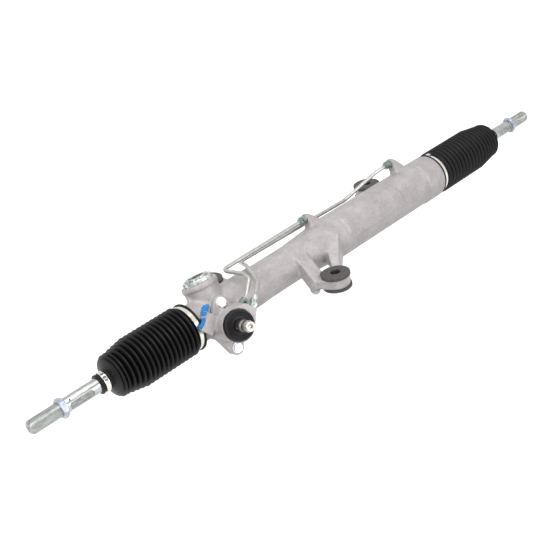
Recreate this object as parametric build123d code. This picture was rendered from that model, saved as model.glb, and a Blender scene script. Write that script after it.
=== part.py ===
from build123d import *
import math
import os

# A hydraulic rack and pinion steering gear with its inner tie rods, as it comes off a car.
# Lengths are in millimetres and angles in degrees.
# X runs along the rack bar, from the pinion side to the far side, and Z along the mounting bolts.
# Everything is laid out from the middle of the housing on the bar's axis, and moved at the end so
# that the origin is the centre of the front mounting eye.

# Travel of the bar
STROKE_EACH_WAY = 77.0
REST_OFFSET = 15.0
STOP_HALF_SPAN = 291.0
STOP_GAP = 0.3

# Clearances
RUNNING_FIT = 0.05
SEAT_FIT = 0.02
LOOSE_FIT = 0.5
CASTING_GAP = 1.0

# Rack bar and its teeth
BAR_RADIUS = 15.0
BAR_CHAMFER = 1.0
MODULE = 2.0
PRESSURE_ANGLE = 20.0
REFERENCE_LINE = 9.2
TOOTH_CLEARANCE = 0.4
BACKLASH = 0.12
TOOTHED_BEFORE_PINION = 94.0
TOOTHED_LENGTH = 188.0
TOOTH_CUT_DEPTH = 8.0

# Pinion
PINION_FROM_STOP = 45.0
SECTION_TILT = 20.0
PINION_SKEW = 13.0
PINION_TEETH = 8
PROFILE_SHIFT = 0.55
PINION_ADDENDUM = 0.8
PINION_DEDENDUM = 1.25
PINION_FACE = 38.0
FLANK_POINTS = 4
JOURNAL_RADIUS = 7.0
JOURNAL_END = -38.0
SHOULDER_RADIUS = 10.0
COUPLER_BORE = 4.0

# Bearings and seals round the pinion
LOWER_BEARING_RADIUS = 14.0
LOWER_BEARING_TOP = -26.0
UPPER_BEARING_RADIUS = 17.0
UPPER_BEARING_BOTTOM = 20.5
UPPER_BEARING_WIDTH = 9.0
RACE_GROOVE_DEPTH = 1.2
PINION_SEAL_WIDTH = 6.0
SHAFT_BEARING_RADIUS = 15.0
SHAFT_BEARING_WIDTH = 7.0
SHAFT_SEAL_WIDTH = 6.0
SEAL_LIP = 1.2
SNAP_RING_WIDTH = 1.5
SNAP_RING_HEIGHT = 2.2

# Valve
VALVE_SLEEVE_RADIUS = 18.0
VALVE_SLEEVE_BOTTOM = 38.5
VALVE_SLEEVE_LENGTH = 27.0
ROTOR_RADIUS = 11.0
VALVE_RING_COUNT = 4
VALVE_RING_WIDTH = 2.0
VALVE_RING_DEPTH = 1.5
ROTOR_SLOT_COUNT = 6
TORSION_BAR_RADIUS = 3.0
TORSION_BAR_HEAD = 10.0

# Input shaft
SHAFT_RADIUS = 8.7
SHAFT_TIP = 130.0
SHAFT_TIP_RADIUS = 7.6
SHAFT_TIP_LENGTH = 6.0
SHAFT_GROOVE_RADIUS = 7.2
SHAFT_GROOVE_START = 105.0
SHAFT_GROOVE_LENGTH = 4.0
CENTRE_HOLE_RADIUS = 2.6
CENTRE_HOLE_DEPTH = 9.0
CROSS_PIN_RADIUS = 2.0

# Rack housing
SLEEVE_RADIUS = 31.0
SLEEVE_LENGTH = 18.0
COUNTERBORE_RADIUS = 23.0
COUNTERBORE_DEPTH = 20.0
TUBE_RADIUS = 30.5
SHOULDER_BEFORE_PINION = 44.0
SHOULDER_AFTER_PINION = 81.0
SHOULDER_FADE = 22.0
SHOULDER_TUBE_RADIUS = 31.5
CONE_START = -75.0
CONE_END = 25.0
CYLINDER_RADIUS = 38.0
COLLAR_RADIUS = 39.3
COLLAR_LENGTH = 43.0
CHAMBER_START = -25.0
CHAMBER_RADIUS = 27.0
PANEL_START = 35.0
PANEL_FROM_COLLAR = 75.0
PANEL_PROUD = 1.6
PANEL_ARC = 64.0
PANEL_MIDDLE_ANGLE = 148.0

# Pinion boss and guide boss on the rack housing
PINION_BOSS_RADIUS = 26.0
PINION_BOSS_BOTTOM = -44.0
FLANGE_FACE = 30.0
FLANGE_THICKNESS = 11.0
FLANGE_BOLTS = ((4.7, 33.4), (-2.7, -38.4))
FLANGE_EAR_RADIUS = 11.0
FLANGE_CORNERS = ((-3.0, 28.0), (-24.5, 6.5))
FLANGE_CORNER_ROUND = 3.0
END_CAP_RADIUS = 16.0
END_CAP_THICKNESS = 7.0
END_CAP_HEX = 17.0
END_CAP_HEX_HEIGHT = 5.0
GUIDE_BOSS_RADIUS = 27.5
GUIDE_BOSS_TOP = 52.0
GUIDE_RIM_RADIUS = 29.0
GUIDE_RIM_HEIGHT = 9.0
GUIDE_RIB_COUNT = 4
GUIDE_RIB_THICKNESS = 6.0

# Rack guide, cap and lock nut
GUIDE_RADIUS = 19.0
GUIDE_TOP = 38.0
GUIDE_SADDLE_START = 4.0
GUIDE_PAD_THICKNESS = 0.9
GUIDE_POCKET_RADIUS = 11.5
GUIDE_POCKET_FLOOR = 21.0
SPRING_WIRE = 3.0
SPRING_RADIUS = 8.5
SPRING_TURNS = 4.0
CAP_BOTTOM = 41.0
CAP_TOP = 61.0
CAP_HEX = 24.0
CAP_HEX_DEPTH = 7.0
LOCK_NUT_RADIUS = 24.5
LOCK_NUT_HEIGHT = 6.5
LOCK_NUT_NOTCHES = 8
LOCK_NUT_NOTCH = 6.0

# Valve housing
VALVE_BODY_RADIUS = 26.0
VALVE_BODY_TOP = 82.0
VALVE_RIM_RADIUS = 20.5
VALVE_RIM_TOP = 87.0
VALVE_FLANGE_THICKNESS = 10.0
PORT_BLOCK_CORNER = (32.5, 8.5)
PORT_BLOCK_SHOULDER = (22.5, 20.0)
PORT_BLOCK_ROUND = 3.5
PORT_BLOCK_START = 40.0
PORT_BLOCK_END = 84.0
SIDE_BLOCK_END = 61.0
PRESSURE_PORT_W = 52.0
RETURN_PORT_W = 70.0
PUMP_PORT_INSET = 11.5
PRESSURE_PORT_RADIUS = 6.25
RETURN_PORT_RADIUS = 7.25
PUMP_PORT_DEPTH = 9.0

# Bolts of the valve housing
BOLT_RADIUS = 4.0
BOLT_HEX = 12.0
BOLT_HEAD_HEIGHT = 7.0
BOLT_FLANGE_RADIUS = 8.2
BOLT_FLANGE_HEIGHT = 1.6
BOLT_LENGTH = 19.0

# Dust cover
COVER_RADIUS = 23.2
COVER_SKIRT_BOTTOM = 83.0
COVER_FACE = 91.0
COVER_STEP = 1.2

# Piston, bushes and seals in the chamber
PISTON_MIDDLE = 109.0
PISTON_WIDTH = 22.0
PISTON_RING_WIDTH = 4.0
PISTON_RING_DEPTH = 3.5
RETAINER_WIDTH = 2.0
RETAINER_RADIUS = 18.0
INNER_BUSH_LENGTH = 16.0
RACK_SEAL_WIDTH = 9.0
RACK_SEAL_PROUD = 0.0
END_STOPPER_LENGTH = 76.0
END_STOPPER_RELIEF = 2.0
END_BUSH_LENGTH = 24.0
END_BUSH_THICKNESS = 3.0
O_RING_SECTION = 2.6
STOPPER_RING_WIDTH = 2.5

# Front bracket and the three mounting eyes
FRONT_EYE_X = -55.0
FRONT_EYE_Y = -79.0
FRONT_EYE_Z = -21.5
LEFT_EYE_AFTER_PINION = 49.0
RIGHT_EYE_FROM_STOP = 99.0
REAR_EYE_Y = 62.0
REAR_EYE_Z = 5.5
EYE_RADIUS = 22.0
EYE_HEIGHT = 16.0
EYE_BORE_RADIUS = 17.5
BUSH_HEIGHT = 27.0
BUSH_FLANGE_RADIUS = 23.75
BUSH_FACE_RADIUS = 21.5
BUSH_HOLE_RADIUS = 8.4
BUSH_SLEEVE_RADIUS = 10.0
BUSH_BORE_RADIUS = 7.8
BUSH_SLEEVE_LENGTH = 23.0
WEB_START_X = -86.5
WEB_THICKNESS = 26.0
WEB_TOP = 18.0
WEB_BOTTOM = -15.0
RIGHT_LEG_ROOT = (7.0, -18.0, -1.0)
RIGHT_LEG_ROOT_WIDTH = 30.0
RIGHT_LEG_ROOT_HEIGHT = 50.0
RIGHT_LEG_TIP = (-40.0, -67.0)
RIGHT_LEG_TIP_WIDTH = 13.0
STAY_BOSS_X = -79.0
STAY_BOSS_Y = -52.0
STAY_BOSS_RADIUS = 8.5
STAY_BOSS_BOTTOM = -34.0
STAY_BOLT_HEX = 12.0
STAY_BOLT_HEAD = 6.0
STAY_BOLT_LENGTH = 14.0

# Oil port bosses and pipes
LEFT_PORT_X = -11.0
RIGHT_PORT_FROM_STOP = 77.0
PORT_HEIGHT = (50.0, 57.0)
PORT_BOSS_RADIUS = 8.5
PORT_BOSS_LENGTH = 6.0
PORT_FADE_LENGTH = 30.0
PORT_FOOT = 20.0
PIPE_RADIUS = 3.3
PIPE_BEND_RADIUS = 9.0
PIPE_ENTRY = 6.0
PIPE_STRAIGHT = 6.0
UNION_HEX = 14.0
UNION_LENGTH = 12.0
UNION_HEX_LENGTH = 8.0
UNION_PLACES = ((30.5, 15.3, 50.0), (32.6, 11.7, 75.0))
UNION_TURNS = (-49.0, -49.0)

# Corners of the two pipes: along the bar from the pinion, up the guide, out of the pinion section
LEFT_PIPE = ((52.0, 25.0, 52.0), (57.0, 33.0, 36.0), (48.0, 48.0, -2.0))
RIGHT_PIPE = ((55.7, 16.0, 62.6), (72.0, 24.0, 36.0), (82.0, 38.0, 14.0), (95.0, 42.0, -19.0))
# Its last two corners, from the cylinder's port
RIGHT_PIPE_END = ((-109.0, 38.0, -25.0), (-34.0, 55.0, -6.0))

# Inner ball joints and tie rods
BALL_RADIUS = 15.0
SEAT_THICKNESS = 2.5
SEAT_PLANE = 2.1
SOCKET_RADIUS = 21.0
SOCKET_BACK = 24.0
SOCKET_LIP = 6.0
SOCKET_LIP_START = 4.8
SOCKET_MOUTH = 10.5
SOCKET_MOUTH_RADIUS = 17.5
SOCKET_FLAT = 18.5
SOCKET_STUD_RADIUS = 8.0
SOCKET_STUD_LENGTH = 20.0
LOCK_WASHER_THICKNESS = 2.0
NECK_RADIUS = 8.0
NECK_END = 34.0
ROD_RADIUS = 11.2
ROD_LENGTH = 593.0
THREAD_RADIUS = 11.0
THREAD_GROOVE = 2.0
THREAD_LENGTH = 48.0
THREAD_RELIEF_RADIUS = 10.0
THREAD_RELIEF_LENGTH = 12.0
JAM_NUT_HEX = 27.0
FLAT_LENGTH = 40.0
FLAT_FROM_NUT = 4.0
FLAT_ACROSS = 19.5
FLAT_END_RADIUS = 6.0
JAM_NUT_HEIGHT = 9.0

# Boots
BOOT_RADIUS = 40.0
BOOT_ROOT_RADIUS = 35.0
BOOT_WALL = 2.0
BOOT_LIP_RADIUS = 38.8
BOOT_LIP_WIDTH = 2.5
BOOT_SEAT_RADIUS = 35.6
BOOT_SEAT_WIDTH = 8.0
BOOT_RIDGES = 16
BOOT_TAPERED_RIDGES = 4
BOOT_TAPER = 1.5
BOOT_SHOULDER = 2.0
CREST_START = 0.35
CREST_END = 0.65
BOOT_DOME_LENGTH = 12.0
ROD_BARE_SHANK = 57.0
BOOT_CUFF_RADIUS = 15.0
BOOT_CUFF_SEAT = 14.0
BOOT_CUFF_LENGTH = 16.0
BOOT_ROD_GAP = 0.3
BAND_THICKNESS = 1.0
BAND_WIDTH = 7.0
BAND_EAR = 4.0
SMALL_CLAMP_WIDTH = 7.0
SMALL_CLAMP_THICKNESS = 2.0

# Directions worked out from the angles above
TILT = math.radians(SECTION_TILT)
SKEW = math.radians(PINION_SKEW)
ALONG = Vector(1, 0, 0)
UP_GUIDE = Vector(0, math.sin(TILT), math.cos(TILT))
OUT_SECTION = Vector(0, -math.cos(TILT), math.sin(TILT))
OUT_PINION = OUT_SECTION * math.cos(SKEW) - ALONG * math.sin(SKEW)

# Tooth sizes worked out from the module
TOOTH_PITCH = math.pi * MODULE
PITCH_RADIUS = PINION_TEETH * MODULE / 2 / math.cos(SKEW)
CENTRE_DISTANCE = REFERENCE_LINE + PROFILE_SHIFT * MODULE + PITCH_RADIUS
PINION_TIP_RADIUS = PITCH_RADIUS + (PROFILE_SHIFT + PINION_ADDENDUM) * MODULE
PINION_ROOT_RADIUS = PITCH_RADIUS + (PROFILE_SHIFT - PINION_DEDENDUM) * MODULE
RACK_TIP = REFERENCE_LINE + MODULE
RACK_ROOT = CENTRE_DISTANCE - PINION_TIP_RADIUS - TOOTH_CLEARANCE

# Lengths along the bar worked out from the stops and the stroke
PINION_X = PINION_FROM_STOP - STOP_HALF_SPAN
TOOTHED_START = PINION_X - TOOTHED_BEFORE_PINION
SHOULDER_START = PINION_X - SHOULDER_BEFORE_PINION
SHOULDER_END = PINION_X + SHOULDER_AFTER_PINION
END_STOPPER_START = STOP_HALF_SPAN - END_STOPPER_LENGTH
PORT_X = (LEFT_PORT_X, STOP_HALF_SPAN - RIGHT_PORT_FROM_STOP)
REAR_EYE_SPREAD = (PINION_X + LEFT_EYE_AFTER_PINION, STOP_HALF_SPAN - RIGHT_EYE_FROM_STOP)
BAR_HALF = STOP_HALF_SPAN + STROKE_EACH_WAY + STOP_GAP
BALL_X = BAR_HALF + LOCK_WASHER_THICKNESS + SOCKET_BACK
HOUSING_HALF = STOP_HALF_SPAN + COUNTERBORE_DEPTH
CUFF_START = HOUSING_HALF - SLEEVE_LENGTH
PANEL_END = CUFF_START - COLLAR_LENGTH - PANEL_FROM_COLLAR
BOOT_CUFF_END = ROD_LENGTH - THREAD_LENGTH - JAM_NUT_HEIGHT - ROD_BARE_SHANK

# Frames: the bar, the tooth cutting direction, the guide and the pinion
BAR = Plane(origin=(0, 0, 0), x_dir=(0, 1, 0), z_dir=(1, 0, 0))
TEETH = Plane(origin=(0, 0, 0), x_dir=ALONG, z_dir=OUT_SECTION)
GUIDE = Plane(origin=ALONG * PINION_X, x_dir=ALONG, z_dir=UP_GUIDE)
PINION = Plane(
    origin=ALONG * PINION_X - UP_GUIDE * CENTRE_DISTANCE,
    x_dir=UP_GUIDE.cross(OUT_PINION),
    z_dir=OUT_PINION,
)


def turned(frame, *points):
    """A solid turned about a frame's Z from (distance along, radius) points."""
    outline = Polyline(*[(radius, 0, along) for along, radius in points], close=True)
    return frame * revolve(make_face(outline), axis=Axis.Z)


def ring(frame, start, end, outer, inner):
    """A plain ring about a frame's Z."""
    return turned(frame, (start, inner), (start, outer), (end, outer), (end, inner))


def rod(frame, start, end, radius):
    """A plain round bar along a frame's Z."""
    return turned(frame, (start, 0), (start, radius), (end, radius), (end, 0))


def hexagon(frame, start, end, across_flats):
    """A hexagonal prism along a frame's Z."""
    outline = RegularPolygon(across_flats / 2, 6, major_radius=False)
    return frame * Pos(0, 0, start) * extrude(outline, end - start)


def eye_frame(x, y, z):
    """An upright frame at a mounting eye."""
    return Plane(origin=(x, y, z))


FRONT_EYE = eye_frame(FRONT_EYE_X, FRONT_EYE_Y, FRONT_EYE_Z)
REAR_EYES = [eye_frame(x, REAR_EYE_Y, REAR_EYE_Z) for x in REAR_EYE_SPREAD]
EYES = [FRONT_EYE, *REAR_EYES]


def bolt_frames():
    """Frames of the two flange bolts, either side of the pinion."""
    return [Plane(PINION * Pos(across, up, 0)) for across, up in FLANGE_BOLTS]


def union_frames():
    """Frames of the two pipe unions on the valve housing, pointing out of it."""
    frames = []
    for place, turn in zip(UNION_PLACES, UNION_TURNS):
        frames.append(Plane(PINION * Pos(*place) * Rot(0, 0, turn) * Rot(-90, 0, 0)))
    return frames


def port_frames():
    """Frames of the two oil ports on the cylinder, pointing out of their bosses to the pinion side."""
    frames = []
    for x, height in zip(PORT_X, PORT_HEIGHT):
        frames.append(Plane(origin=ALONG * x + UP_GUIDE * height, x_dir=OUT_SECTION, z_dir=-ALONG))
    return frames


def housing_tube():
    """The turned outside of the casting: sleeves, tube, cone, cylinder and collar."""
    return turned(
        BAR,
        (-HOUSING_HALF, 0),
        (-HOUSING_HALF, SLEEVE_RADIUS - BAR_CHAMFER),
        (-HOUSING_HALF + BAR_CHAMFER, SLEEVE_RADIUS),
        (-CUFF_START, SLEEVE_RADIUS),
        (-CUFF_START, TUBE_RADIUS),
        (SHOULDER_START, SHOULDER_TUBE_RADIUS),
        (SHOULDER_END, SHOULDER_TUBE_RADIUS),
        (SHOULDER_END + SHOULDER_FADE, TUBE_RADIUS),
        (CONE_START, TUBE_RADIUS),
        (CONE_END, CYLINDER_RADIUS),
        (CUFF_START - COLLAR_LENGTH, CYLINDER_RADIUS),
        (CUFF_START - COLLAR_LENGTH + BAR_CHAMFER, COLLAR_RADIUS),
        (CUFF_START - BAR_CHAMFER, COLLAR_RADIUS),
        (CUFF_START, COLLAR_RADIUS - BAR_CHAMFER),
        (CUFF_START, SLEEVE_RADIUS),
        (HOUSING_HALF - BAR_CHAMFER, SLEEVE_RADIUS),
        (HOUSING_HALF, SLEEVE_RADIUS - BAR_CHAMFER),
        (HOUSING_HALF, 0),
    )


def housing_panel():
    """The low raised panel cast along the cylinder."""
    radius = CYLINDER_RADIUS + PANEL_PROUD
    inside = CYLINDER_RADIUS - PANEL_PROUD
    outline = Polyline((inside, 0, PANEL_START), (radius, 0, PANEL_START), (radius, 0, PANEL_END),
                       (inside, 0, PANEL_END), close=True)
    band = revolve(make_face(outline), axis=Axis.Z, revolution_arc=PANEL_ARC)
    return BAR * Rot(0, 0, PANEL_MIDDLE_ANGLE - PANEL_ARC / 2) * band


def pinion_boss():
    """The lower pinion casing with its two-eared flange."""
    boss = rod(PINION, PINION_BOSS_BOTTOM, FLANGE_FACE, PINION_BOSS_RADIUS)
    flange_start = FLANGE_FACE - FLANGE_THICKNESS
    boss += flange(flange_start, FLANGE_THICKNESS)
    return boss


def flange(start, thickness, margin=0.0):
    """A flange round the pinion with an ear at each bolt."""
    outline = Circle(PINION_BOSS_RADIUS + margin)
    for across, up in FLANGE_BOLTS:
        outline += Pos(across, up) * Circle(FLANGE_EAR_RADIUS + margin)
    for across, up in FLANGE_CORNERS:
        outline += Pos(across, up) * Circle(FLANGE_CORNER_ROUND + margin)
    return PINION * Pos(0, 0, start) * extrude(make_hull(outline.edges()), thickness)


def guide_boss():
    """The upright boss that holds the rack guide, with ribs down to the tube."""
    boss = turned(
        GUIDE,
        (0, 0),
        (0, GUIDE_BOSS_RADIUS),
        (GUIDE_BOSS_TOP - GUIDE_RIM_HEIGHT, GUIDE_BOSS_RADIUS),
        (GUIDE_BOSS_TOP - GUIDE_RIM_HEIGHT + BAR_CHAMFER, GUIDE_RIM_RADIUS),
        (GUIDE_BOSS_TOP, GUIDE_RIM_RADIUS),
        (GUIDE_BOSS_TOP, 0),
    )
    rib_top = GUIDE_BOSS_TOP - GUIDE_RIM_HEIGHT
    rib_foot = GUIDE_BOSS_RADIUS + GUIDE_RIM_HEIGHT * 2
    rib = Polyline((0, 0, 0), (rib_foot, 0, 0), (GUIDE_BOSS_RADIUS, 0, rib_top), (0, 0, rib_top), close=True)
    web = extrude(make_face(rib), GUIDE_RIB_THICKNESS / 2, both=True)
    for turn in (0, 180):
        boss += GUIDE * Rot(0, 0, turn) * web
    return boss


def left_web():
    """The tall cast wall from the tube to the stay bolt's boss."""
    eye_top = FRONT_EYE_Z + EYE_HEIGHT / 2
    eye_bottom = FRONT_EYE_Z - EYE_HEIGHT / 2
    front = STAY_BOSS_Y - STAY_BOSS_RADIUS
    outline = Polyline(
        (-BAR_RADIUS, WEB_TOP + BAR_RADIUS / 2),
        (-TUBE_RADIUS, WEB_TOP),
        (front, eye_top),
        (front, eye_bottom),
        (STAY_BOSS_Y + STAY_BOSS_RADIUS, eye_bottom),
        (-TUBE_RADIUS, WEB_BOTTOM),
        (-BAR_RADIUS, WEB_BOTTOM),
        close=True,
    )
    side = Plane(origin=(WEB_START_X, 0, 0), x_dir=(0, 1, 0), z_dir=(1, 0, 0))
    return side * extrude(make_face(outline), WEB_THICKNESS)


def right_leg():
    """The wide cast leg that tapers from the cylinder down to the eye's far side."""
    root = Vector(*RIGHT_LEG_ROOT)
    tip = Vector(*RIGHT_LEG_TIP, FRONT_EYE_Z)
    run = Vector(tip.X - root.X, tip.Y - root.Y, 0)
    across = Vector(0, 0, 1).cross(run)
    start = Plane(origin=root, x_dir=across, z_dir=run) * Rectangle(RIGHT_LEG_ROOT_WIDTH, RIGHT_LEG_ROOT_HEIGHT)
    end = Plane(origin=tip, x_dir=across, z_dir=run) * Rectangle(RIGHT_LEG_TIP_WIDTH, EYE_HEIGHT)
    return loft([start, end])


def front_bracket():
    """The front mounting eye on its web and leg, with the boss of the stay bolt."""
    arm = Circle(EYE_RADIUS) + Pos(STAY_BOSS_X - FRONT_EYE_X, STAY_BOSS_Y - FRONT_EYE_Y) * Circle(STAY_BOSS_RADIUS)
    bracket = FRONT_EYE * Pos(0, 0, -EYE_HEIGHT / 2) * extrude(make_hull(arm.edges()), EYE_HEIGHT)
    bracket += left_web() + right_leg()
    stay = Plane(origin=(STAY_BOSS_X, STAY_BOSS_Y, 0))
    bracket += rod(stay, STAY_BOSS_BOTTOM, FRONT_EYE_Z + EYE_HEIGHT / 2, STAY_BOSS_RADIUS)
    return bracket


def rear_lug(eye):
    """A rear mounting eye joined to the tube by tangent walls."""
    place = eye.origin
    foot = Pos(0, -place.Y) * Rectangle(EYE_RADIUS * 2, BAR_RADIUS)
    outline = make_hull((Circle(EYE_RADIUS) + foot).edges())
    return eye * Pos(0, 0, -EYE_HEIGHT / 2) * extrude(outline, EYE_HEIGHT)


def port_boss(x, height):
    """A cylinder port: a boss with a rounded back that falls away into the tube."""
    mouth = Plane(origin=ALONG * x, x_dir=UP_GUIDE, z_dir=ALONG)
    back = Pos(height, 0) * Circle(PORT_BOSS_RADIUS) + Pos(PORT_FOOT, 0) * Circle(PORT_BOSS_RADIUS)
    bar = mouth * extrude(make_hull(back.edges()), PORT_BOSS_LENGTH + PORT_FADE_LENGTH)
    side = Plane(origin=ALONG * x, x_dir=ALONG, z_dir=ALONG.cross(UP_GUIDE))
    crown = height + PORT_BOSS_RADIUS
    outline = Polyline(
        (0, PORT_FOOT),
        (0, crown),
        (PORT_BOSS_LENGTH, crown),
        (PORT_BOSS_LENGTH + PORT_FADE_LENGTH, PORT_FOOT + PORT_BOSS_RADIUS),
        (PORT_BOSS_LENGTH + PORT_FADE_LENGTH, PORT_FOOT),
        close=True,
    )
    return bar & (side * extrude(make_face(outline), PORT_BOSS_RADIUS, both=True))


def rack_housing():
    """The one-piece casting with all its bores."""
    body = housing_tube() + housing_panel() + pinion_boss() + guide_boss() + front_bracket()
    for eye in REAR_EYES:
        body += rear_lug(eye)
    for x, height in zip(PORT_X, PORT_HEIGHT):
        body += port_boss(x, height)
    body -= flange(FLANGE_FACE, VALVE_BODY_TOP - FLANGE_FACE, CASTING_GAP)
    body -= rod(BAR, -HOUSING_HALF, -STOP_HALF_SPAN, COUNTERBORE_RADIUS)
    body -= rod(BAR, -STOP_HALF_SPAN, CHAMBER_START, BAR_RADIUS + CASTING_GAP)
    body -= rod(BAR, CHAMBER_START, HOUSING_HALF, CHAMBER_RADIUS)
    body -= rod(BAR, STOP_HALF_SPAN, STOP_HALF_SPAN + STOPPER_RING_WIDTH, CHAMBER_RADIUS + STOPPER_RING_WIDTH / 2)
    body -= rod(PINION, JOURNAL_END - LOOSE_FIT, UPPER_BEARING_BOTTOM, PINION_TIP_RADIUS + CASTING_GAP)
    body -= rod(PINION, PINION_BOSS_BOTTOM, LOWER_BEARING_TOP, LOWER_BEARING_RADIUS)
    body -= rod(PINION, UPPER_BEARING_BOTTOM, FLANGE_FACE, UPPER_BEARING_RADIUS)
    body -= rod(GUIDE, GUIDE_SADDLE_START - CASTING_GAP, GUIDE_BOSS_TOP, GUIDE_RADIUS + RUNNING_FIT)
    for eye in EYES:
        body -= rod(eye, -EYE_HEIGHT, EYE_HEIGHT, EYE_BORE_RADIUS)
        for side in (-1, 1):
            middle = eye.origin.Z + side * (EYE_HEIGHT + BUSH_HEIGHT) / 2
            body -= Pos(eye.origin.X, eye.origin.Y, middle) * Cylinder(BUSH_FLANGE_RADIUS + CASTING_GAP, BUSH_HEIGHT)
    for frame in bolt_frames():
        body -= rod(frame, FLANGE_FACE - BOLT_LENGTH, FLANGE_FACE, BOLT_RADIUS)
    for frame in port_frames():
        body -= rod(frame, -PIPE_ENTRY, 0, PIPE_RADIUS + SEAT_FIT)
    stay = Plane(origin=(STAY_BOSS_X, STAY_BOSS_Y, STAY_BOSS_BOTTOM))
    body -= rod(stay, 0, STAY_BOLT_LENGTH, BOLT_RADIUS)
    return body


def valve_housing():
    """The upper casting: two-eared foot, round body and the block that takes the oil lines."""
    body = flange(FLANGE_FACE, VALVE_FLANGE_THICKNESS)
    body += turned(
        PINION,
        (FLANGE_FACE, 0),
        (FLANGE_FACE, VALVE_BODY_RADIUS),
        (VALVE_BODY_TOP - BAR_CHAMFER, VALVE_BODY_RADIUS),
        (VALVE_BODY_TOP, VALVE_BODY_RADIUS - BAR_CHAMFER),
        (VALVE_BODY_TOP, VALVE_RIM_RADIUS),
        (VALVE_RIM_TOP, VALVE_RIM_RADIUS),
        (VALVE_RIM_TOP, 0),
    )
    outline = Circle(VALVE_BODY_RADIUS)
    for corner in (PORT_BLOCK_CORNER, PORT_BLOCK_SHOULDER):
        outline += Pos(*corner) * Circle(PORT_BLOCK_ROUND)
    block = extrude(make_hull(outline.edges()), PORT_BLOCK_END - PORT_BLOCK_START)
    body += PINION * Pos(0, 0, PORT_BLOCK_START) * block
    wall = Circle(VALVE_BODY_RADIUS)
    for across, up in FLANGE_CORNERS:
        wall += Pos(across, up) * Circle(FLANGE_CORNER_ROUND)
    side = extrude(make_hull(wall.edges()), SIDE_BLOCK_END - FLANGE_FACE)
    body += PINION * Pos(0, 0, FLANGE_FACE) * side
    for frame in union_frames():
        body -= rod(frame, 0, UNION_LENGTH, UNION_HEX / 2 + BOLT_FLANGE_HEIGHT)
    body -= ring(PINION, VALVE_BODY_TOP, VALVE_RIM_TOP, COVER_RADIUS + CASTING_GAP, VALVE_RIM_RADIUS)
    inside = VALVE_SLEEVE_RADIUS + VALVE_RING_DEPTH / 2
    body -= rod(PINION, FLANGE_FACE, seal_top(), UPPER_BEARING_RADIUS)
    body -= rod(PINION, seal_top(), bearing_bottom(), inside)
    body -= rod(PINION, bearing_bottom(), VALVE_RIM_TOP, SHAFT_BEARING_RADIUS)
    for frame in bolt_frames():
        body -= rod(frame, FLANGE_FACE, FLANGE_FACE + VALVE_FLANGE_THICKNESS, BOLT_RADIUS + LOOSE_FIT)
        body -= rod(frame, FLANGE_FACE + VALVE_FLANGE_THICKNESS, VALVE_BODY_TOP, BOLT_FLANGE_RADIUS + LOOSE_FIT)
    for frame in union_frames():
        body -= rod(frame, -PIPE_ENTRY, 0, PIPE_RADIUS + SEAT_FIT)
    for along, radius in ((PRESSURE_PORT_W, PRESSURE_PORT_RADIUS), (RETURN_PORT_W, RETURN_PORT_RADIUS)):
        body -= rod(pump_port_frame(along), -PUMP_PORT_DEPTH, 0, radius)
    return body


def pump_port_frame(along):
    """Frame at the mouth of a pump port, pointing out of the block's slanted face."""
    across, up = PORT_BLOCK_CORNER
    reach = math.hypot(across, up)
    fall = math.acos((VALVE_BODY_RADIUS - PORT_BLOCK_ROUND) / reach)
    turn = math.degrees(math.atan2(up, across) - fall)
    offset = reach * math.sin(fall) - PUMP_PORT_INSET
    place = Pos(0, 0, along) * Rot(0, 0, turn) * Pos(VALVE_BODY_RADIUS, offset, 0) * Rot(0, 90, 0)
    return Plane(PINION * place)


def seal_top():
    """Top of the pinion oil seal along the pinion."""
    return FLANGE_FACE + PINION_SEAL_WIDTH


def bearing_bottom():
    """Bottom of the input shaft bearing along the pinion."""
    return VALVE_SLEEVE_BOTTOM + VALVE_SLEEVE_LENGTH + CASTING_GAP


def flange_bolts():
    """The two flange bolts with their hexagon heads."""
    bolts = []
    seat = FLANGE_FACE + VALVE_FLANGE_THICKNESS
    for frame in bolt_frames():
        bolt = rod(frame, seat - BOLT_LENGTH, seat, BOLT_RADIUS - SEAT_FIT)
        bolt += rod(frame, seat, seat + BOLT_FLANGE_HEIGHT, BOLT_FLANGE_RADIUS)
        bolt += hexagon(frame, seat + BOLT_FLANGE_HEIGHT, seat + BOLT_HEAD_HEIGHT, BOLT_HEX)
        bolts.append(bolt)
    return bolts


def stay_bolt():
    """The small hexagon bolt under the front bracket."""
    frame = Plane(origin=(STAY_BOSS_X, STAY_BOSS_Y, STAY_BOSS_BOTTOM))
    bolt = rod(frame, 0, STAY_BOLT_LENGTH - LOOSE_FIT, BOLT_RADIUS - SEAT_FIT)
    bolt += rod(frame, -BOLT_FLANGE_HEIGHT, 0, BOLT_FLANGE_RADIUS)
    bolt += hexagon(frame, -STAY_BOLT_HEAD, -BOLT_FLANGE_HEIGHT, STAY_BOLT_HEX)
    return bolt


def pinion_end_cap():
    """The screwed cap that closes the pinion boss from below."""
    cap = rod(PINION, PINION_BOSS_BOTTOM - END_CAP_THICKNESS, PINION_BOSS_BOTTOM, END_CAP_RADIUS)
    cap += rod(PINION, PINION_BOSS_BOTTOM, JOURNAL_END - LOOSE_FIT, LOWER_BEARING_RADIUS - SEAT_FIT)
    hex_end = PINION_BOSS_BOTTOM - END_CAP_THICKNESS
    cap += hexagon(PINION, hex_end - END_CAP_HEX_HEIGHT, hex_end, END_CAP_HEX)
    return cap


def race(start, end, outer, inner):
    """A shielded ball bearing drawn as one ring with a groove in each face."""
    middle = (outer + inner) / 2
    half = (outer - inner) / 6
    deep = RACE_GROOVE_DEPTH
    return turned(
        PINION,
        (start, inner), (start, middle - half), (start + deep, middle - half), (start + deep, middle + half),
        (start, middle + half), (start, outer), (end, outer), (end, middle + half),
        (end - deep, middle + half), (end - deep, middle - half), (end, middle - half), (end, inner),
    )


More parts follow.
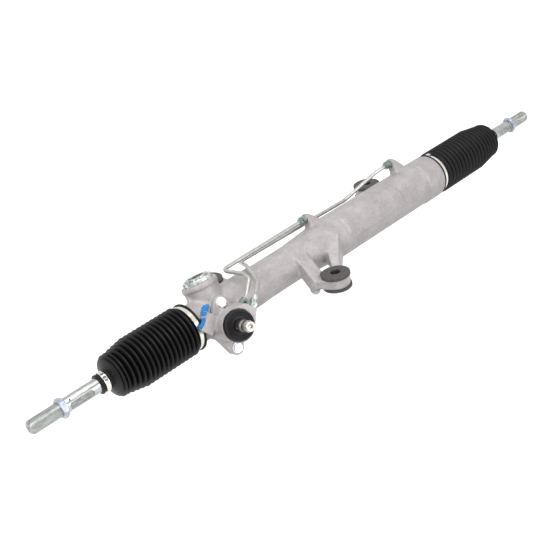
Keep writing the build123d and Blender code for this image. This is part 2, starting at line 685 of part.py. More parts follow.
def lip_seal(frame, start, end, outer, inner):
    """A radial shaft seal: a ring whose bore narrows to a lip in the middle."""
    middle = (start + end) / 2
    return turned(
        frame,
        (start, outer), (end, outer), (end, inner + SEAL_LIP), (middle, inner), (start, inner + SEAL_LIP),
    )


def pinion_lower_bearing():
    return race(JOURNAL_END, LOWER_BEARING_TOP, LOWER_BEARING_RADIUS - SEAT_FIT, JOURNAL_RADIUS + RUNNING_FIT)


def pinion_upper_bearing():
    end = UPPER_BEARING_BOTTOM + UPPER_BEARING_WIDTH
    return race(UPPER_BEARING_BOTTOM, end, UPPER_BEARING_RADIUS - SEAT_FIT, SHOULDER_RADIUS + RUNNING_FIT)


def pinion_seal():
    return lip_seal(PINION, FLANGE_FACE, seal_top(), UPPER_BEARING_RADIUS - SEAT_FIT, SHOULDER_RADIUS + RUNNING_FIT)


def input_shaft_bearing():
    start = bearing_bottom()
    end = start + SHAFT_BEARING_WIDTH
    return race(start, end, SHAFT_BEARING_RADIUS - SEAT_FIT, SHAFT_RADIUS + RUNNING_FIT)


def input_shaft_seal():
    start = bearing_bottom() + SHAFT_BEARING_WIDTH
    end = start + SHAFT_SEAL_WIDTH
    return lip_seal(PINION, start, end, SHAFT_BEARING_RADIUS - SEAT_FIT, SHAFT_RADIUS + RUNNING_FIT)


def seal_retaining_ring():
    start = bearing_bottom() + SHAFT_BEARING_WIDTH + SHAFT_SEAL_WIDTH
    outer = SHAFT_BEARING_RADIUS - SEAT_FIT
    return ring(PINION, start, start + SNAP_RING_WIDTH, outer, outer - SNAP_RING_HEIGHT)


def dust_cover():
    """The rubber cap over the top of the valve housing, stepped in rings towards the shaft."""
    skirt = VALVE_RIM_RADIUS + SEAT_FIT
    hole = SHAFT_RADIUS + LOOSE_FIT
    step = (COVER_RADIUS - hole) / 4
    return turned(
        PINION,
        (COVER_SKIRT_BOTTOM, skirt),
        (COVER_SKIRT_BOTTOM, COVER_RADIUS),
        (COVER_FACE - COVER_STEP, COVER_RADIUS),
        (COVER_FACE, COVER_RADIUS - COVER_STEP),
        (COVER_FACE, COVER_RADIUS - step),
        (COVER_FACE - COVER_STEP, COVER_RADIUS - step - COVER_STEP),
        (COVER_FACE - COVER_STEP, COVER_RADIUS - 2 * step),
        (COVER_FACE - 2 * COVER_STEP, COVER_RADIUS - 2 * step - COVER_STEP),
        (COVER_FACE - 2 * COVER_STEP, hole),
        (VALVE_RIM_TOP, hole),
        (VALVE_RIM_TOP, skirt),
    )


def involute_half_angle(radius):
    """Half the angle that a pinion tooth fills at a radius, in radians."""
    transverse = math.atan(math.tan(math.radians(PRESSURE_ANGLE)) / math.cos(SKEW))
    base = PITCH_RADIUS * math.cos(transverse)
    thickness = MODULE * (math.pi / 2 + 2 * PROFILE_SHIFT * math.tan(math.radians(PRESSURE_ANGLE))) - BACKLASH
    half = thickness / math.cos(SKEW) / PITCH_RADIUS / 2
    here = math.acos(min(base / radius, 1.0))
    return half + (math.tan(transverse) - transverse) - (math.tan(here) - here)


def base_radius():
    """Radius of the pinion's base circle."""
    transverse = math.atan(math.tan(math.radians(PRESSURE_ANGLE)) / math.cos(SKEW))
    return PITCH_RADIUS * math.cos(transverse)


def polar(radius, angle):
    """A point at an angle from the Y axis, turning towards X."""
    return (radius * math.sin(angle), radius * math.cos(angle))


def pinion_profile():
    """The pinion's cross-section: involute flanks on a root circle."""
    low = base_radius()
    radii = [low + (PINION_TIP_RADIUS - low) * i / (FLANK_POINTS - 1) for i in range(FLANK_POINTS)]
    edges = []
    for tooth in range(PINION_TEETH):
        centre = tooth * 2 * math.pi / PINION_TEETH
        following = (tooth + 1) * 2 * math.pi / PINION_TEETH
        left = [polar(r, centre - involute_half_angle(r)) for r in radii]
        right = [polar(r, centre + involute_half_angle(r)) for r in radii]
        root = involute_half_angle(low)
        edges.append(Line(polar(PINION_ROOT_RADIUS, centre - root), left[0]))
        edges.append(Spline(*left))
        edges.append(Line(left[-1], right[-1]))
        edges.append(Spline(*reversed(right)))
        edges.append(Line(right[0], polar(PINION_ROOT_RADIUS, centre + root)))
        valley = polar(PINION_ROOT_RADIUS, (centre + following) / 2)
        edges.append(ThreePointArc(polar(PINION_ROOT_RADIUS, centre + root), valley,
                                   polar(PINION_ROOT_RADIUS, following - root)))
    return make_face(Curve() + edges)


def pinion():
    """The helical pinion with its journals and the coupler that carries the valve sleeve."""
    twist = math.degrees(PINION_FACE * math.tan(SKEW) / PITCH_RADIUS)
    start = Pos(0, 0, -PINION_FACE / 2) * Rot(0, 0, twist / 2) * pinion_profile()
    teeth = Solid.extrude_linear_with_rotation(start.faces()[0], (0, 0, -PINION_FACE / 2), (0, 0, PINION_FACE), -twist)
    body = PINION * Part(teeth.wrapped)
    body += rod(PINION, JOURNAL_END, -PINION_FACE / 2, JOURNAL_RADIUS)
    body += rod(PINION, PINION_FACE / 2, VALVE_SLEEVE_BOTTOM - CASTING_GAP, SHOULDER_RADIUS)
    body -= rod(PINION, 0, VALVE_SLEEVE_BOTTOM, COUPLER_BORE)
    return body


def valve_sleeve():
    """The valve sleeve, grooved for its sealing rings."""
    end = VALVE_SLEEVE_BOTTOM + VALVE_SLEEVE_LENGTH
    body = ring(PINION, VALVE_SLEEVE_BOTTOM, end, VALVE_SLEEVE_RADIUS, ROTOR_RADIUS + RUNNING_FIT)
    floor = ring(PINION, VALVE_SLEEVE_BOTTOM - CASTING_GAP, VALVE_SLEEVE_BOTTOM, VALVE_SLEEVE_RADIUS, COUPLER_BORE)
    body += floor
    for start in valve_ring_starts():
        body -= ring(PINION, start, start + VALVE_RING_WIDTH, VALVE_SLEEVE_RADIUS + LOOSE_FIT,
                     VALVE_SLEEVE_RADIUS - VALVE_RING_DEPTH)
    return body


def valve_ring_starts():
    """Where each sealing ring begins, evenly spread over the sleeve."""
    pitch = VALVE_SLEEVE_LENGTH / VALVE_RING_COUNT
    first = VALVE_SLEEVE_BOTTOM + (pitch - VALVE_RING_WIDTH) / 2
    return [first + i * pitch for i in range(VALVE_RING_COUNT)]


def valve_rings():
    """The four sealing rings round the sleeve."""
    outer = VALVE_SLEEVE_RADIUS + VALVE_RING_DEPTH / 2 - RUNNING_FIT
    inner = VALVE_SLEEVE_RADIUS - VALVE_RING_DEPTH + SEAT_FIT
    return [ring(PINION, s + SEAT_FIT, s + VALVE_RING_WIDTH - SEAT_FIT, outer, inner) for s in valve_ring_starts()]


def input_shaft():
    """The input shaft: slotted valve rotor below, clamp groove and the seat of the steering joint above."""
    rotor_start = VALVE_SLEEVE_BOTTOM + SEAT_FIT
    rotor_end = VALVE_SLEEVE_BOTTOM + VALVE_SLEEVE_LENGTH
    seat_end = SHAFT_TIP - SHAFT_TIP_LENGTH
    body = turned(
        PINION,
        (rotor_start, 0),
        (rotor_start, ROTOR_RADIUS),
        (rotor_end, ROTOR_RADIUS),
        (rotor_end, SHAFT_RADIUS),
        (SHAFT_GROOVE_START, SHAFT_RADIUS),
        (SHAFT_GROOVE_START, SHAFT_GROOVE_RADIUS),
        (SHAFT_GROOVE_START + SHAFT_GROOVE_LENGTH, SHAFT_GROOVE_RADIUS),
        (SHAFT_GROOVE_START + SHAFT_GROOVE_LENGTH, SHAFT_RADIUS),
        (seat_end, SHAFT_RADIUS),
        (seat_end, SHAFT_TIP_RADIUS),
        (SHAFT_TIP - BAR_CHAMFER, SHAFT_TIP_RADIUS),
        (SHAFT_TIP, SHAFT_TIP_RADIUS - BAR_CHAMFER),
        (SHAFT_TIP, 0),
    )
    slot_middle = (rotor_start + rotor_end) / 2
    slot = Cylinder(MODULE, VALVE_SLEEVE_LENGTH / 2)
    for i in range(ROTOR_SLOT_COUNT):
        turn = Rot(0, 0, i * 360 / ROTOR_SLOT_COUNT)
        body -= PINION * turn * Pos(ROTOR_RADIUS, 0, slot_middle) * slot
    body -= rod(PINION, 0, torsion_top(), COUPLER_BORE)
    body -= rod(PINION, SHAFT_TIP - CENTRE_HOLE_DEPTH, SHAFT_TIP, CENTRE_HOLE_RADIUS)
    body -= cross_pin_hole(SHAFT_RADIUS * 2)
    return body


def torsion_top():
    """Top of the torsion bar along the pinion."""
    return SHAFT_GROOVE_START + SHAFT_GROOVE_LENGTH


def cross_pin_hole(reach):
    """The cross hole that pins the torsion bar in the shaft, between cover and groove."""
    middle = (COVER_FACE + SHAFT_GROOVE_START) / 2
    return PINION * Pos(0, 0, middle) * Rot(0, 90, 0) * Cylinder(CROSS_PIN_RADIUS, reach)


def torsion_bar():
    """The thin torsion bar with a thicker head at each end."""
    start = CASTING_GAP
    end = torsion_top() - SEAT_FIT
    head = COUPLER_BORE - SEAT_FIT
    bar = turned(
        PINION,
        (start, 0),
        (start, head),
        (start + TORSION_BAR_HEAD, head),
        (start + TORSION_BAR_HEAD * 1.5, TORSION_BAR_RADIUS),
        (end - TORSION_BAR_HEAD * 2.5, TORSION_BAR_RADIUS),
        (end - TORSION_BAR_HEAD * 2, head),
        (end, head),
        (end, 0),
    )
    return bar - cross_pin_hole(SHAFT_RADIUS * 2)


def torsion_bar_pin():
    """The cross pin through shaft and torsion bar."""
    middle = (COVER_FACE + SHAFT_GROOVE_START) / 2
    pin = Cylinder(CROSS_PIN_RADIUS - SEAT_FIT, 2 * SHAFT_RADIUS - BAR_CHAMFER)
    return PINION * Pos(0, 0, middle) * Rot(0, 90, 0) * pin


def rack_bar():
    """The bar with its row of teeth, drilled and tapped at both ends."""
    start = REST_OFFSET - BAR_HALF
    end = REST_OFFSET + BAR_HALF
    body = turned(
        BAR,
        (start, 0),
        (start, BAR_RADIUS - BAR_CHAMFER),
        (start + BAR_CHAMFER, BAR_RADIUS),
        (end - BAR_CHAMFER, BAR_RADIUS),
        (end, BAR_RADIUS - BAR_CHAMFER),
        (end, 0),
    )
    hole = SOCKET_STUD_LENGTH + LOOSE_FIT
    body -= rod(BAR, start, start + hole, SOCKET_STUD_RADIUS)
    body -= rod(BAR, end - hole, end, SOCKET_STUD_RADIUS)
    zone = REST_OFFSET + TOOTHED_START
    flat = Pos(zone + TOOTHED_LENGTH / 2, -RACK_TIP - TOOTH_CUT_DEPTH / 2) * Rectangle(TOOTHED_LENGTH, TOOTH_CUT_DEPTH)
    cutter = flat
    first = math.ceil((zone - PINION_X) / TOOTH_PITCH + 0.5)
    last = math.floor((zone + TOOTHED_LENGTH - PINION_X) / TOOTH_PITCH - 0.5)
    for i in range(first, last + 1):
        cutter += Pos(PINION_X + i * TOOTH_PITCH, 0) * tooth_gap()
    body -= TEETH * extrude(cutter, BAR_RADIUS, both=True)
    for side in (-1, 1):
        middle = REST_OFFSET + PISTON_MIDDLE + side * (PISTON_WIDTH + RETAINER_WIDTH) / 2
        body -= ring(BAR, middle - RETAINER_WIDTH / 2, middle + RETAINER_WIDTH / 2, BAR_RADIUS + LOOSE_FIT,
                     BAR_RADIUS - BAR_CHAMFER)
    return body


def tooth_gap():
    """The gap between two rack teeth, seen across the bar."""
    slope = math.tan(math.radians(PRESSURE_ANGLE))
    half = TOOTH_PITCH / 4
    top = half + (RACK_TIP + TOOTH_CLEARANCE - REFERENCE_LINE) * slope
    bottom = half - (REFERENCE_LINE - RACK_ROOT) * slope
    outline = Polyline(
        (-top, -RACK_TIP - TOOTH_CLEARANCE),
        (-bottom, -RACK_ROOT),
        (bottom, -RACK_ROOT),
        (top, -RACK_TIP - TOOTH_CLEARANCE),
        close=True,
    )
    return make_face(outline)


def piston():
    """The piston on the bar, grooved for its seal ring."""
    middle = REST_OFFSET + PISTON_MIDDLE
    outer = CHAMBER_RADIUS - LOOSE_FIT
    half = PISTON_WIDTH / 2
    ring_half = PISTON_RING_WIDTH / 2
    return turned(
        BAR,
        (middle - half, BAR_RADIUS + SEAT_FIT),
        (middle - half, outer),
        (middle - ring_half, outer),
        (middle - ring_half, outer - PISTON_RING_DEPTH),
        (middle + ring_half, outer - PISTON_RING_DEPTH),
        (middle + ring_half, outer),
        (middle + half, outer),
        (middle + half, BAR_RADIUS + SEAT_FIT),
    )


def piston_seal_ring():
    middle = REST_OFFSET + PISTON_MIDDLE
    half = PISTON_RING_WIDTH / 2 - SEAT_FIT
    inner = CHAMBER_RADIUS - LOOSE_FIT - PISTON_RING_DEPTH + SEAT_FIT
    return ring(BAR, middle - half, middle + half, CHAMBER_RADIUS - RUNNING_FIT, inner)


def piston_retaining_rings():
    rings = []
    for side in (-1, 1):
        middle = REST_OFFSET + PISTON_MIDDLE + side * (PISTON_WIDTH + RETAINER_WIDTH) / 2
        half = RETAINER_WIDTH / 2
        rings.append(ring(BAR, middle - half, middle + half, RETAINER_RADIUS, BAR_RADIUS - BAR_CHAMFER + SEAT_FIT))
    return rings


def inner_rack_bush():
    end = CHAMBER_START + INNER_BUSH_LENGTH
    return ring(BAR, CHAMBER_START, end, CHAMBER_RADIUS - SEAT_FIT, BAR_RADIUS + RUNNING_FIT)


def inner_rack_seal():
    start = CHAMBER_START + INNER_BUSH_LENGTH
    return lip_seal(BAR, start, start + RACK_SEAL_WIDTH, CHAMBER_RADIUS - SEAT_FIT, BAR_RADIUS + RUNNING_FIT)


def rack_end_stopper():
    """The sleeve that closes the chamber and takes the stop, with a seat for seal, bush and O-ring."""
    outer = CHAMBER_RADIUS - SEAT_FIT
    bush = BAR_RADIUS + END_BUSH_THICKNESS
    start = END_STOPPER_START
    seal_end = start + RACK_SEAL_WIDTH
    seat = CHAMBER_RADIUS - O_RING_SECTION * 2
    ring_start = seal_end + O_RING_SECTION
    return turned(
        BAR,
        (start, seat),
        (start, outer),
        (ring_start, outer),
        (ring_start, outer - O_RING_SECTION),
        (ring_start + O_RING_SECTION, outer - O_RING_SECTION),
        (ring_start + O_RING_SECTION, outer),
        (STOP_HALF_SPAN, outer),
        (STOP_HALF_SPAN, BAR_RADIUS + CASTING_GAP),
        (seal_end + O_RING_SECTION + END_BUSH_LENGTH, BAR_RADIUS + CASTING_GAP),
        (seal_end + O_RING_SECTION + END_BUSH_LENGTH, bush),
        (seal_end, bush),
        (seal_end, seat),
    )


def end_stopper_bush():
    start = END_STOPPER_START + RACK_SEAL_WIDTH + O_RING_SECTION
    outer = BAR_RADIUS + END_BUSH_THICKNESS - SEAT_FIT
    return ring(BAR, start, start + END_BUSH_LENGTH, outer, BAR_RADIUS + RUNNING_FIT)


def outer_rack_seal():
    start = END_STOPPER_START
    seat = CHAMBER_RADIUS - O_RING_SECTION * 2 - SEAT_FIT
    return lip_seal(BAR, start, start + RACK_SEAL_WIDTH, seat, BAR_RADIUS + RUNNING_FIT)


def stopper_o_ring():
    start = END_STOPPER_START + RACK_SEAL_WIDTH + O_RING_SECTION
    outer = CHAMBER_RADIUS - SEAT_FIT
    return ring(BAR, start + SEAT_FIT, start + O_RING_SECTION - SEAT_FIT, outer, outer - O_RING_SECTION + SEAT_FIT)


def stopper_retaining_ring():
    outer = CHAMBER_RADIUS + STOPPER_RING_WIDTH / 2 - SEAT_FIT
    start = STOP_HALF_SPAN
    return ring(BAR, start, start + STOPPER_RING_WIDTH - SEAT_FIT, outer, CHAMBER_RADIUS - STOPPER_RING_WIDTH)


def rack_guide():
    """The spring-loaded yoke that holds the bar in mesh."""
    body = rod(GUIDE, GUIDE_SADDLE_START, GUIDE_TOP, GUIDE_RADIUS)
    body -= rod(BAR, -HOUSING_HALF, 0, BAR_RADIUS + GUIDE_PAD_THICKNESS + RUNNING_FIT)
    body -= rod(GUIDE, GUIDE_POCKET_FLOOR, GUIDE_TOP, GUIDE_POCKET_RADIUS)
    return body


def rack_guide_pad():
    """The thin liner between yoke and bar."""
    half = GUIDE_RADIUS * 0.7
    shell = ring(BAR, PINION_X - half, PINION_X + half, BAR_RADIUS + GUIDE_PAD_THICKNESS, BAR_RADIUS + RUNNING_FIT)
    inside = rod(GUIDE, GUIDE_SADDLE_START, GUIDE_TOP, GUIDE_RADIUS - LOOSE_FIT)
    return shell & inside


def guide_spring():
    """The coil spring between yoke and cap."""
    low = GUIDE_POCKET_FLOOR + SPRING_WIRE / 2
    high = CAP_BOTTOM - SPRING_WIRE / 2
    path = Helix((high - low) / SPRING_TURNS, high - low, SPRING_RADIUS)
    start = Plane(origin=path @ 0, z_dir=path % 0)
    return GUIDE * Pos(0, 0, low) * sweep(start * Circle(SPRING_WIRE / 2 - SEAT_FIT), path, is_frenet=True)


def guide_cap():
    """The adjusting plug with its hexagon socket."""
    body = rod(GUIDE, CAP_BOTTOM, CAP_TOP, GUIDE_RADIUS + RUNNING_FIT - SEAT_FIT)
    body -= hexagon(GUIDE, CAP_TOP - CAP_HEX_DEPTH, CAP_TOP, CAP_HEX)
    return body


def guide_lock_nut():
    """The notched ring nut that locks the cap."""
    start = GUIDE_BOSS_TOP
    end = start + LOCK_NUT_HEIGHT
    body = turned(
        GUIDE,
        (start, GUIDE_RADIUS + RUNNING_FIT),
        (start, LOCK_NUT_RADIUS),
        (end - BAR_CHAMFER, LOCK_NUT_RADIUS),
        (end, LOCK_NUT_RADIUS - BAR_CHAMFER),
        (end, GUIDE_RADIUS + RUNNING_FIT),
    )
    notch = Box(LOCK_NUT_NOTCH, LOCK_NUT_NOTCH / 2, LOCK_NUT_HEIGHT)
    for i in range(LOCK_NUT_NOTCHES):
        turn = Rot(0, 0, i * 360 / LOCK_NUT_NOTCHES)
        body -= GUIDE * turn * Pos(0, LOCK_NUT_RADIUS, start + LOCK_NUT_HEIGHT / 2) * notch
    return body


def bush_rubber(eye):
    """A mounting bush's rubber: a sleeve in the eye with a flange above and below."""
    half = BUSH_HEIGHT / 2
    seat = EYE_HEIGHT / 2
    bevel = BUSH_FLANGE_RADIUS - BUSH_FACE_RADIUS
    recess = BUSH_SLEEVE_LENGTH / 2
    return turned(
        eye,
        (-half, BUSH_HOLE_RADIUS),
        (-half, BUSH_FACE_RADIUS),
        (-half + bevel / 2, BUSH_FLANGE_RADIUS),
        (-seat, BUSH_FLANGE_RADIUS),
        (-seat, EYE_BORE_RADIUS - SEAT_FIT),
        (seat, EYE_BORE_RADIUS - SEAT_FIT),
        (seat, BUSH_FLANGE_RADIUS),
        (half - bevel / 2, BUSH_FLANGE_RADIUS),
        (half, BUSH_FACE_RADIUS),
        (half, BUSH_HOLE_RADIUS),
        (recess, BUSH_HOLE_RADIUS),
        (recess, BUSH_SLEEVE_RADIUS + SEAT_FIT),
        (-recess, BUSH_SLEEVE_RADIUS + SEAT_FIT),
        (-recess, BUSH_HOLE_RADIUS),
    )


def bush_sleeve(eye):
    """The steel sleeve that the mounting bolt goes through."""
    half = BUSH_SLEEVE_LENGTH / 2
    return ring(eye, -half, half, BUSH_SLEEVE_RADIUS, BUSH_BORE_RADIUS)


def pipe(points):
    """A bent steel pipe through a list of corner points."""
    path = FilletPolyline(*points, radius=PIPE_BEND_RADIUS)
    start = Plane(origin=path @ 0, z_dir=path % 0)
    return sweep(start * Circle(PIPE_RADIUS), path)


def section_point(x, up, out):
    """A point by its place along the bar, up the guide and out of the pinion section."""
    return ALONG * x + UP_GUIDE * up + OUT_SECTION * out


def pipe_between(index, corners):
    """A pipe from its union on the valve housing, through its corners, into its cylinder port."""
    union = union_frames()[index]
    port = port_frames()[index]
    inner = union.origin + union.z_dir * (SEAT_FIT - PIPE_ENTRY)
    outer = union.origin + union.z_dir * (UNION_LENGTH + PIPE_STRAIGHT)
    near = port.origin + port.z_dir * (UNION_LENGTH + PIPE_STRAIGHT)
    end = port.origin + port.z_dir * (SEAT_FIT - PIPE_ENTRY)
    return pipe([inner, outer, *corners, near, end])


def left_corners():
    """Corners of the pipe to the left chamber."""
    return [section_point(PINION_X + x, up, out) for x, up, out in LEFT_PIPE]


def right_corners():
    """Corners of the pipe to the right chamber, first from the pinion and then from its port."""
    corners = [section_point(PINION_X + x, up, out) for x, up, out in RIGHT_PIPE]
    corners += [section_point(PORT_X[1] + x, up, out) for x, up, out in RIGHT_PIPE_END]
    return corners


def union_nuts():
    """The union nuts on both ends of both pipes."""
    nuts = []
    for frame in union_frames() + port_frames():
        nuts.append(union_nut(frame))
    return nuts


def union_nut(frame):
    """One union nut: a hexagon with a neck round the pipe."""
    nut = hexagon(frame, 0, UNION_HEX_LENGTH, UNION_HEX)
    nut += rod(frame, UNION_HEX_LENGTH, UNION_LENGTH, UNION_HEX / 2 - BAR_CHAMFER)
    return nut - rod(frame, 0, UNION_LENGTH, PIPE_RADIUS + SEAT_FIT)


def end_frame(side):
    """A frame at an inner ball's centre, its Z pointing out along the tie rod."""
    return Plane(origin=(REST_OFFSET + side * BALL_X, 0, 0), x_dir=(0, 1, 0), z_dir=(side, 0, 0))


def socket(side):
    """The inner ball joint's socket with the stud that screws into the bar."""
    frame = end_frame(side)
    body = turned(
        frame,
        (-SOCKET_BACK, 0),
        (-SOCKET_BACK, SOCKET_RADIUS - BAR_CHAMFER),
        (-SOCKET_BACK + BAR_CHAMFER, SOCKET_RADIUS),
        (0, SOCKET_RADIUS),
        (SOCKET_MOUTH, SOCKET_MOUTH_RADIUS + BAR_CHAMFER),
        (SOCKET_MOUTH, 0),
    )
    body += rod(frame, -SOCKET_BACK - LOCK_WASHER_THICKNESS - SOCKET_STUD_LENGTH, -SOCKET_BACK,
                SOCKET_STUD_RADIUS - SEAT_FIT)
    bed = frame * Sphere(BALL_RADIUS + SEAT_THICKNESS + RUNNING_FIT)
    body -= bed & rod(frame, -SOCKET_BACK, SOCKET_LIP_START, SOCKET_RADIUS)
    body -= frame * Sphere(BALL_RADIUS + RUNNING_FIT)
    lip = math.sqrt((BALL_RADIUS + RUNNING_FIT) ** 2 - SOCKET_LIP ** 2)
    body -= turned(frame, (SOCKET_LIP, 0), (SOCKET_LIP, lip), (SOCKET_MOUTH, SOCKET_MOUTH_RADIUS), (SOCKET_MOUTH, 0))
    for turn in (0, 180):
        flat = Pos(SOCKET_FLAT + SOCKET_RADIUS, 0, -SOCKET_BACK / 2)
        body -= frame * Rot(0, 0, turn) * flat * Box(SOCKET_RADIUS * 2, SOCKET_RADIUS * 2, SOCKET_BACK / 2)
    return body


def ball_seat(side):
    """The cup that the ball turns in."""
    frame = end_frame(side)
    cup = frame * Sphere(BALL_RADIUS + SEAT_THICKNESS)
    cup = cup & rod(frame, -SOCKET_BACK, -SEAT_PLANE, SOCKET_RADIUS)
    return cup - frame * Sphere(BALL_RADIUS + RUNNING_FIT)


def lock_washer(side):
    """The washer clenched between the bar's end and the socket."""
    frame = end_frame(side)
    start = -SOCKET_BACK - LOCK_WASHER_THICKNESS
    return ring(frame, start, -SOCKET_BACK, SOCKET_RADIUS, SOCKET_STUD_RADIUS + SEAT_FIT)


def tie_rod(side):
    """The tie rod: ball, neck, shank and threaded end, turned in one piece."""
    frame = end_frame(side)
    tip = ROD_LENGTH - BALL_X
    nut_end = tip - THREAD_LENGTH
    nut_start = nut_end - JAM_NUT_HEIGHT
    thread_start = nut_start - THREAD_RELIEF_LENGTH
    bar = turned(
        frame,
        (0, 0),
        (0, NECK_RADIUS),
        (BALL_RADIUS, NECK_RADIUS),
        (NECK_END, ROD_RADIUS),
        (thread_start - BAR_CHAMFER, ROD_RADIUS),
        (thread_start, THREAD_RADIUS),
        (nut_end - THREAD_GROOVE, THREAD_RADIUS),
        (nut_end - THREAD_GROOVE, THREAD_RELIEF_RADIUS),
        (nut_end, THREAD_RELIEF_RADIUS),
        (nut_end, THREAD_RADIUS),
        (tip - BAR_CHAMFER * 2, THREAD_RADIUS),
        (tip, THREAD_RELIEF_RADIUS - BAR_CHAMFER),
        (tip, 0),
    )
    bar += frame * Sphere(BALL_RADIUS)
    slot = SlotOverall(FLAT_LENGTH, FLAT_END_RADIUS * 2)
    for face in (-1, 1):
        flat = Plane(origin=(0, 0, nut_start - FLAT_FROM_NUT - FLAT_LENGTH / 2), x_dir=(0, 0, 1), z_dir=(face, 0, 0))
        bar -= frame * flat * Pos(0, 0, FLAT_ACROSS / 2) * extrude(slot, ROD_RADIUS)
    return bar


def jam_nut(side):
    """The jam nut on the tie rod's thread."""
    frame = end_frame(side)
    end = ROD_LENGTH - BALL_X - THREAD_LENGTH
    start = end - JAM_NUT_HEIGHT
    body = hexagon(frame, start, end, JAM_NUT_HEX)
    corner = JAM_NUT_HEX / math.sqrt(3)
    flat = JAM_NUT_HEX / 2
    body &= turned(frame, (start, 0), (start, flat), (start + corner - flat, corner), (end - corner + flat, corner),
                   (end, flat), (end, 0))
    return body - rod(frame, start, end, THREAD_RADIUS + SEAT_FIT)


def boot_frame(side):
    """A frame on the bar's axis at the middle of the housing, its Z pointing out to one side."""
    return Plane(origin=(0, 0, 0), x_dir=(0, 1, 0), z_dir=(side, 0, 0))


def boot_span(side):
    """Where a boot's convolutions end, and where its cuff on the tie rod starts and ends."""
    cuff_end = BOOT_CUFF_END + side * REST_OFFSET
    cuff_start = cuff_end - BOOT_CUFF_LENGTH
    return cuff_start - BOOT_DOME_LENGTH, cuff_start, cuff_end


def ridge_radius(index):
    """Crest radius of a ridge: the last few grow smaller towards the dome."""
    left = BOOT_RIDGES - 1 - index
    return BOOT_RADIUS - BOOT_TAPER * max(0, BOOT_TAPERED_RIDGES - left)


def boot_outline(side, inset):
    """Points of a boot's outside, or of its inside when inset by the wall, from housing to rod."""
    ridges_end, cuff_start, cuff_end = boot_span(side)
    ridges_start = CUFF_START + BOOT_LIP_WIDTH + BOOT_SEAT_WIDTH + BOOT_SHOULDER
    pitch = (ridges_end - ridges_start) / BOOT_RIDGES
    depth = BOOT_RADIUS - BOOT_ROOT_RADIUS
    points = []
    for i in range(BOOT_RIDGES):
        crest = ridge_radius(i)
        points.append((ridges_start + i * pitch, crest - depth - inset))
        points.append((ridges_start + (i + CREST_START) * pitch, crest - inset))
        points.append((ridges_start + (i + CREST_END) * pitch, crest - inset))
    return points


def boot_dome(side, inset):
    """Points of the smooth dome between the last ridge and the cuff on the rod."""
    ridges_end, cuff_start, cuff_end = boot_span(side)
    length = cuff_start - ridges_end
    shares = ((0.0, 0.86), (0.15, 0.84), (0.45, 0.74), (0.75, 0.6), (0.92, 0.47))
    return [(ridges_end + along * length, BOOT_RADIUS * radius - inset) for along, radius in shares]


def boot(side):
    """A convoluted rubber boot, from its cuff on the housing to its cuff on the tie rod."""
    ridges_end, cuff_start, cuff_end = boot_span(side)
    rod_seat = ROD_RADIUS + BOOT_ROD_GAP
    seat_start = CUFF_START + BOOT_LIP_WIDTH
    outside = [
        (CUFF_START, SLEEVE_RADIUS + SEAT_FIT),
        (CUFF_START, BOOT_LIP_RADIUS),
        (seat_start, BOOT_LIP_RADIUS),
        (seat_start, BOOT_SEAT_RADIUS),
        (seat_start + BOOT_SEAT_WIDTH, BOOT_SEAT_RADIUS),
    ]
    outside += boot_outline(side, 0) + boot_dome(side, 0)
    outside += [
        (cuff_start, BOOT_CUFF_RADIUS),
        (cuff_start + BOOT_WALL, BOOT_CUFF_RADIUS),
        (cuff_start + BOOT_WALL, BOOT_CUFF_SEAT),
        (cuff_end - BOOT_LIP_WIDTH, BOOT_CUFF_SEAT),
        (cuff_end - BOOT_LIP_WIDTH, BOOT_CUFF_RADIUS),
        (cuff_end, BOOT_CUFF_RADIUS),
        (cuff_end, rod_seat),
        (cuff_start, rod_seat),
    ]
    inside = boot_outline(side, BOOT_WALL) + boot_dome(side, BOOT_WALL)
    inside.reverse()
    inside.append((seat_start + BOOT_SEAT_WIDTH, SLEEVE_RADIUS + SEAT_FIT))
    return turned(boot_frame(side), *outside, *inside)


def large_clamp(side):
    """The stainless band round a boot's cuff on the housing, with its clenched ear."""
    frame = boot_frame(side)
    start = CUFF_START + BOOT_LIP_WIDTH + (BOOT_SEAT_WIDTH - BAND_WIDTH) / 2
    inner = BOOT_SEAT_RADIUS + SEAT_FIT
    band = ring(frame, start, start + BAND_WIDTH, inner + BAND_THICKNESS, inner)
    ear = frame * Pos(0, inner + BAND_EAR / 2, start + BAND_WIDTH / 2) * Box(BAND_EAR * 2, BAND_EAR, BAND_WIDTH)
    return band + (ear - rod(frame, start, start + BAND_WIDTH, inner))


def small_clamp(side):
    """The spring clip round a boot's cuff on the tie rod."""
    frame = boot_frame(side)
    ridges_end, cuff_start, cuff_end = boot_span(side)
    start = (cuff_start + BOOT_WALL + cuff_end - BOOT_LIP_WIDTH - SMALL_CLAMP_WIDTH) / 2
    inner = BOOT_CUFF_SEAT + SEAT_FIT
    band = ring(frame, start, start + SMALL_CLAMP_WIDTH, inner + SMALL_CLAMP_THICKNESS, inner)
    ear = Box(BAND_EAR, BAND_EAR * 2, SMALL_CLAMP_WIDTH)
    ear = frame * Pos(0, inner + BAND_EAR, start + SMALL_CLAMP_WIDTH / 2) * ear
    return band + (ear - rod(frame, start, start + SMALL_CLAMP_WIDTH, inner))


def write(name, shape):
    """Moves a piece to the front eye's origin and writes it."""
    pieces = shape if isinstance(shape, list) else [shape]
    solids = []
    for piece in pieces:
        solids.extend(piece.solids())
    moved = Pos(-FRONT_EYE_X, -FRONT_EYE_Y, -FRONT_EYE_Z) * Compound(children=solids)
    export_step(moved, f"parts/{name}.step")
    print(name, "solids", len(solids), "volume", round(sum(s.volume for s in solids)))


os.makedirs("parts", exist_ok=True)

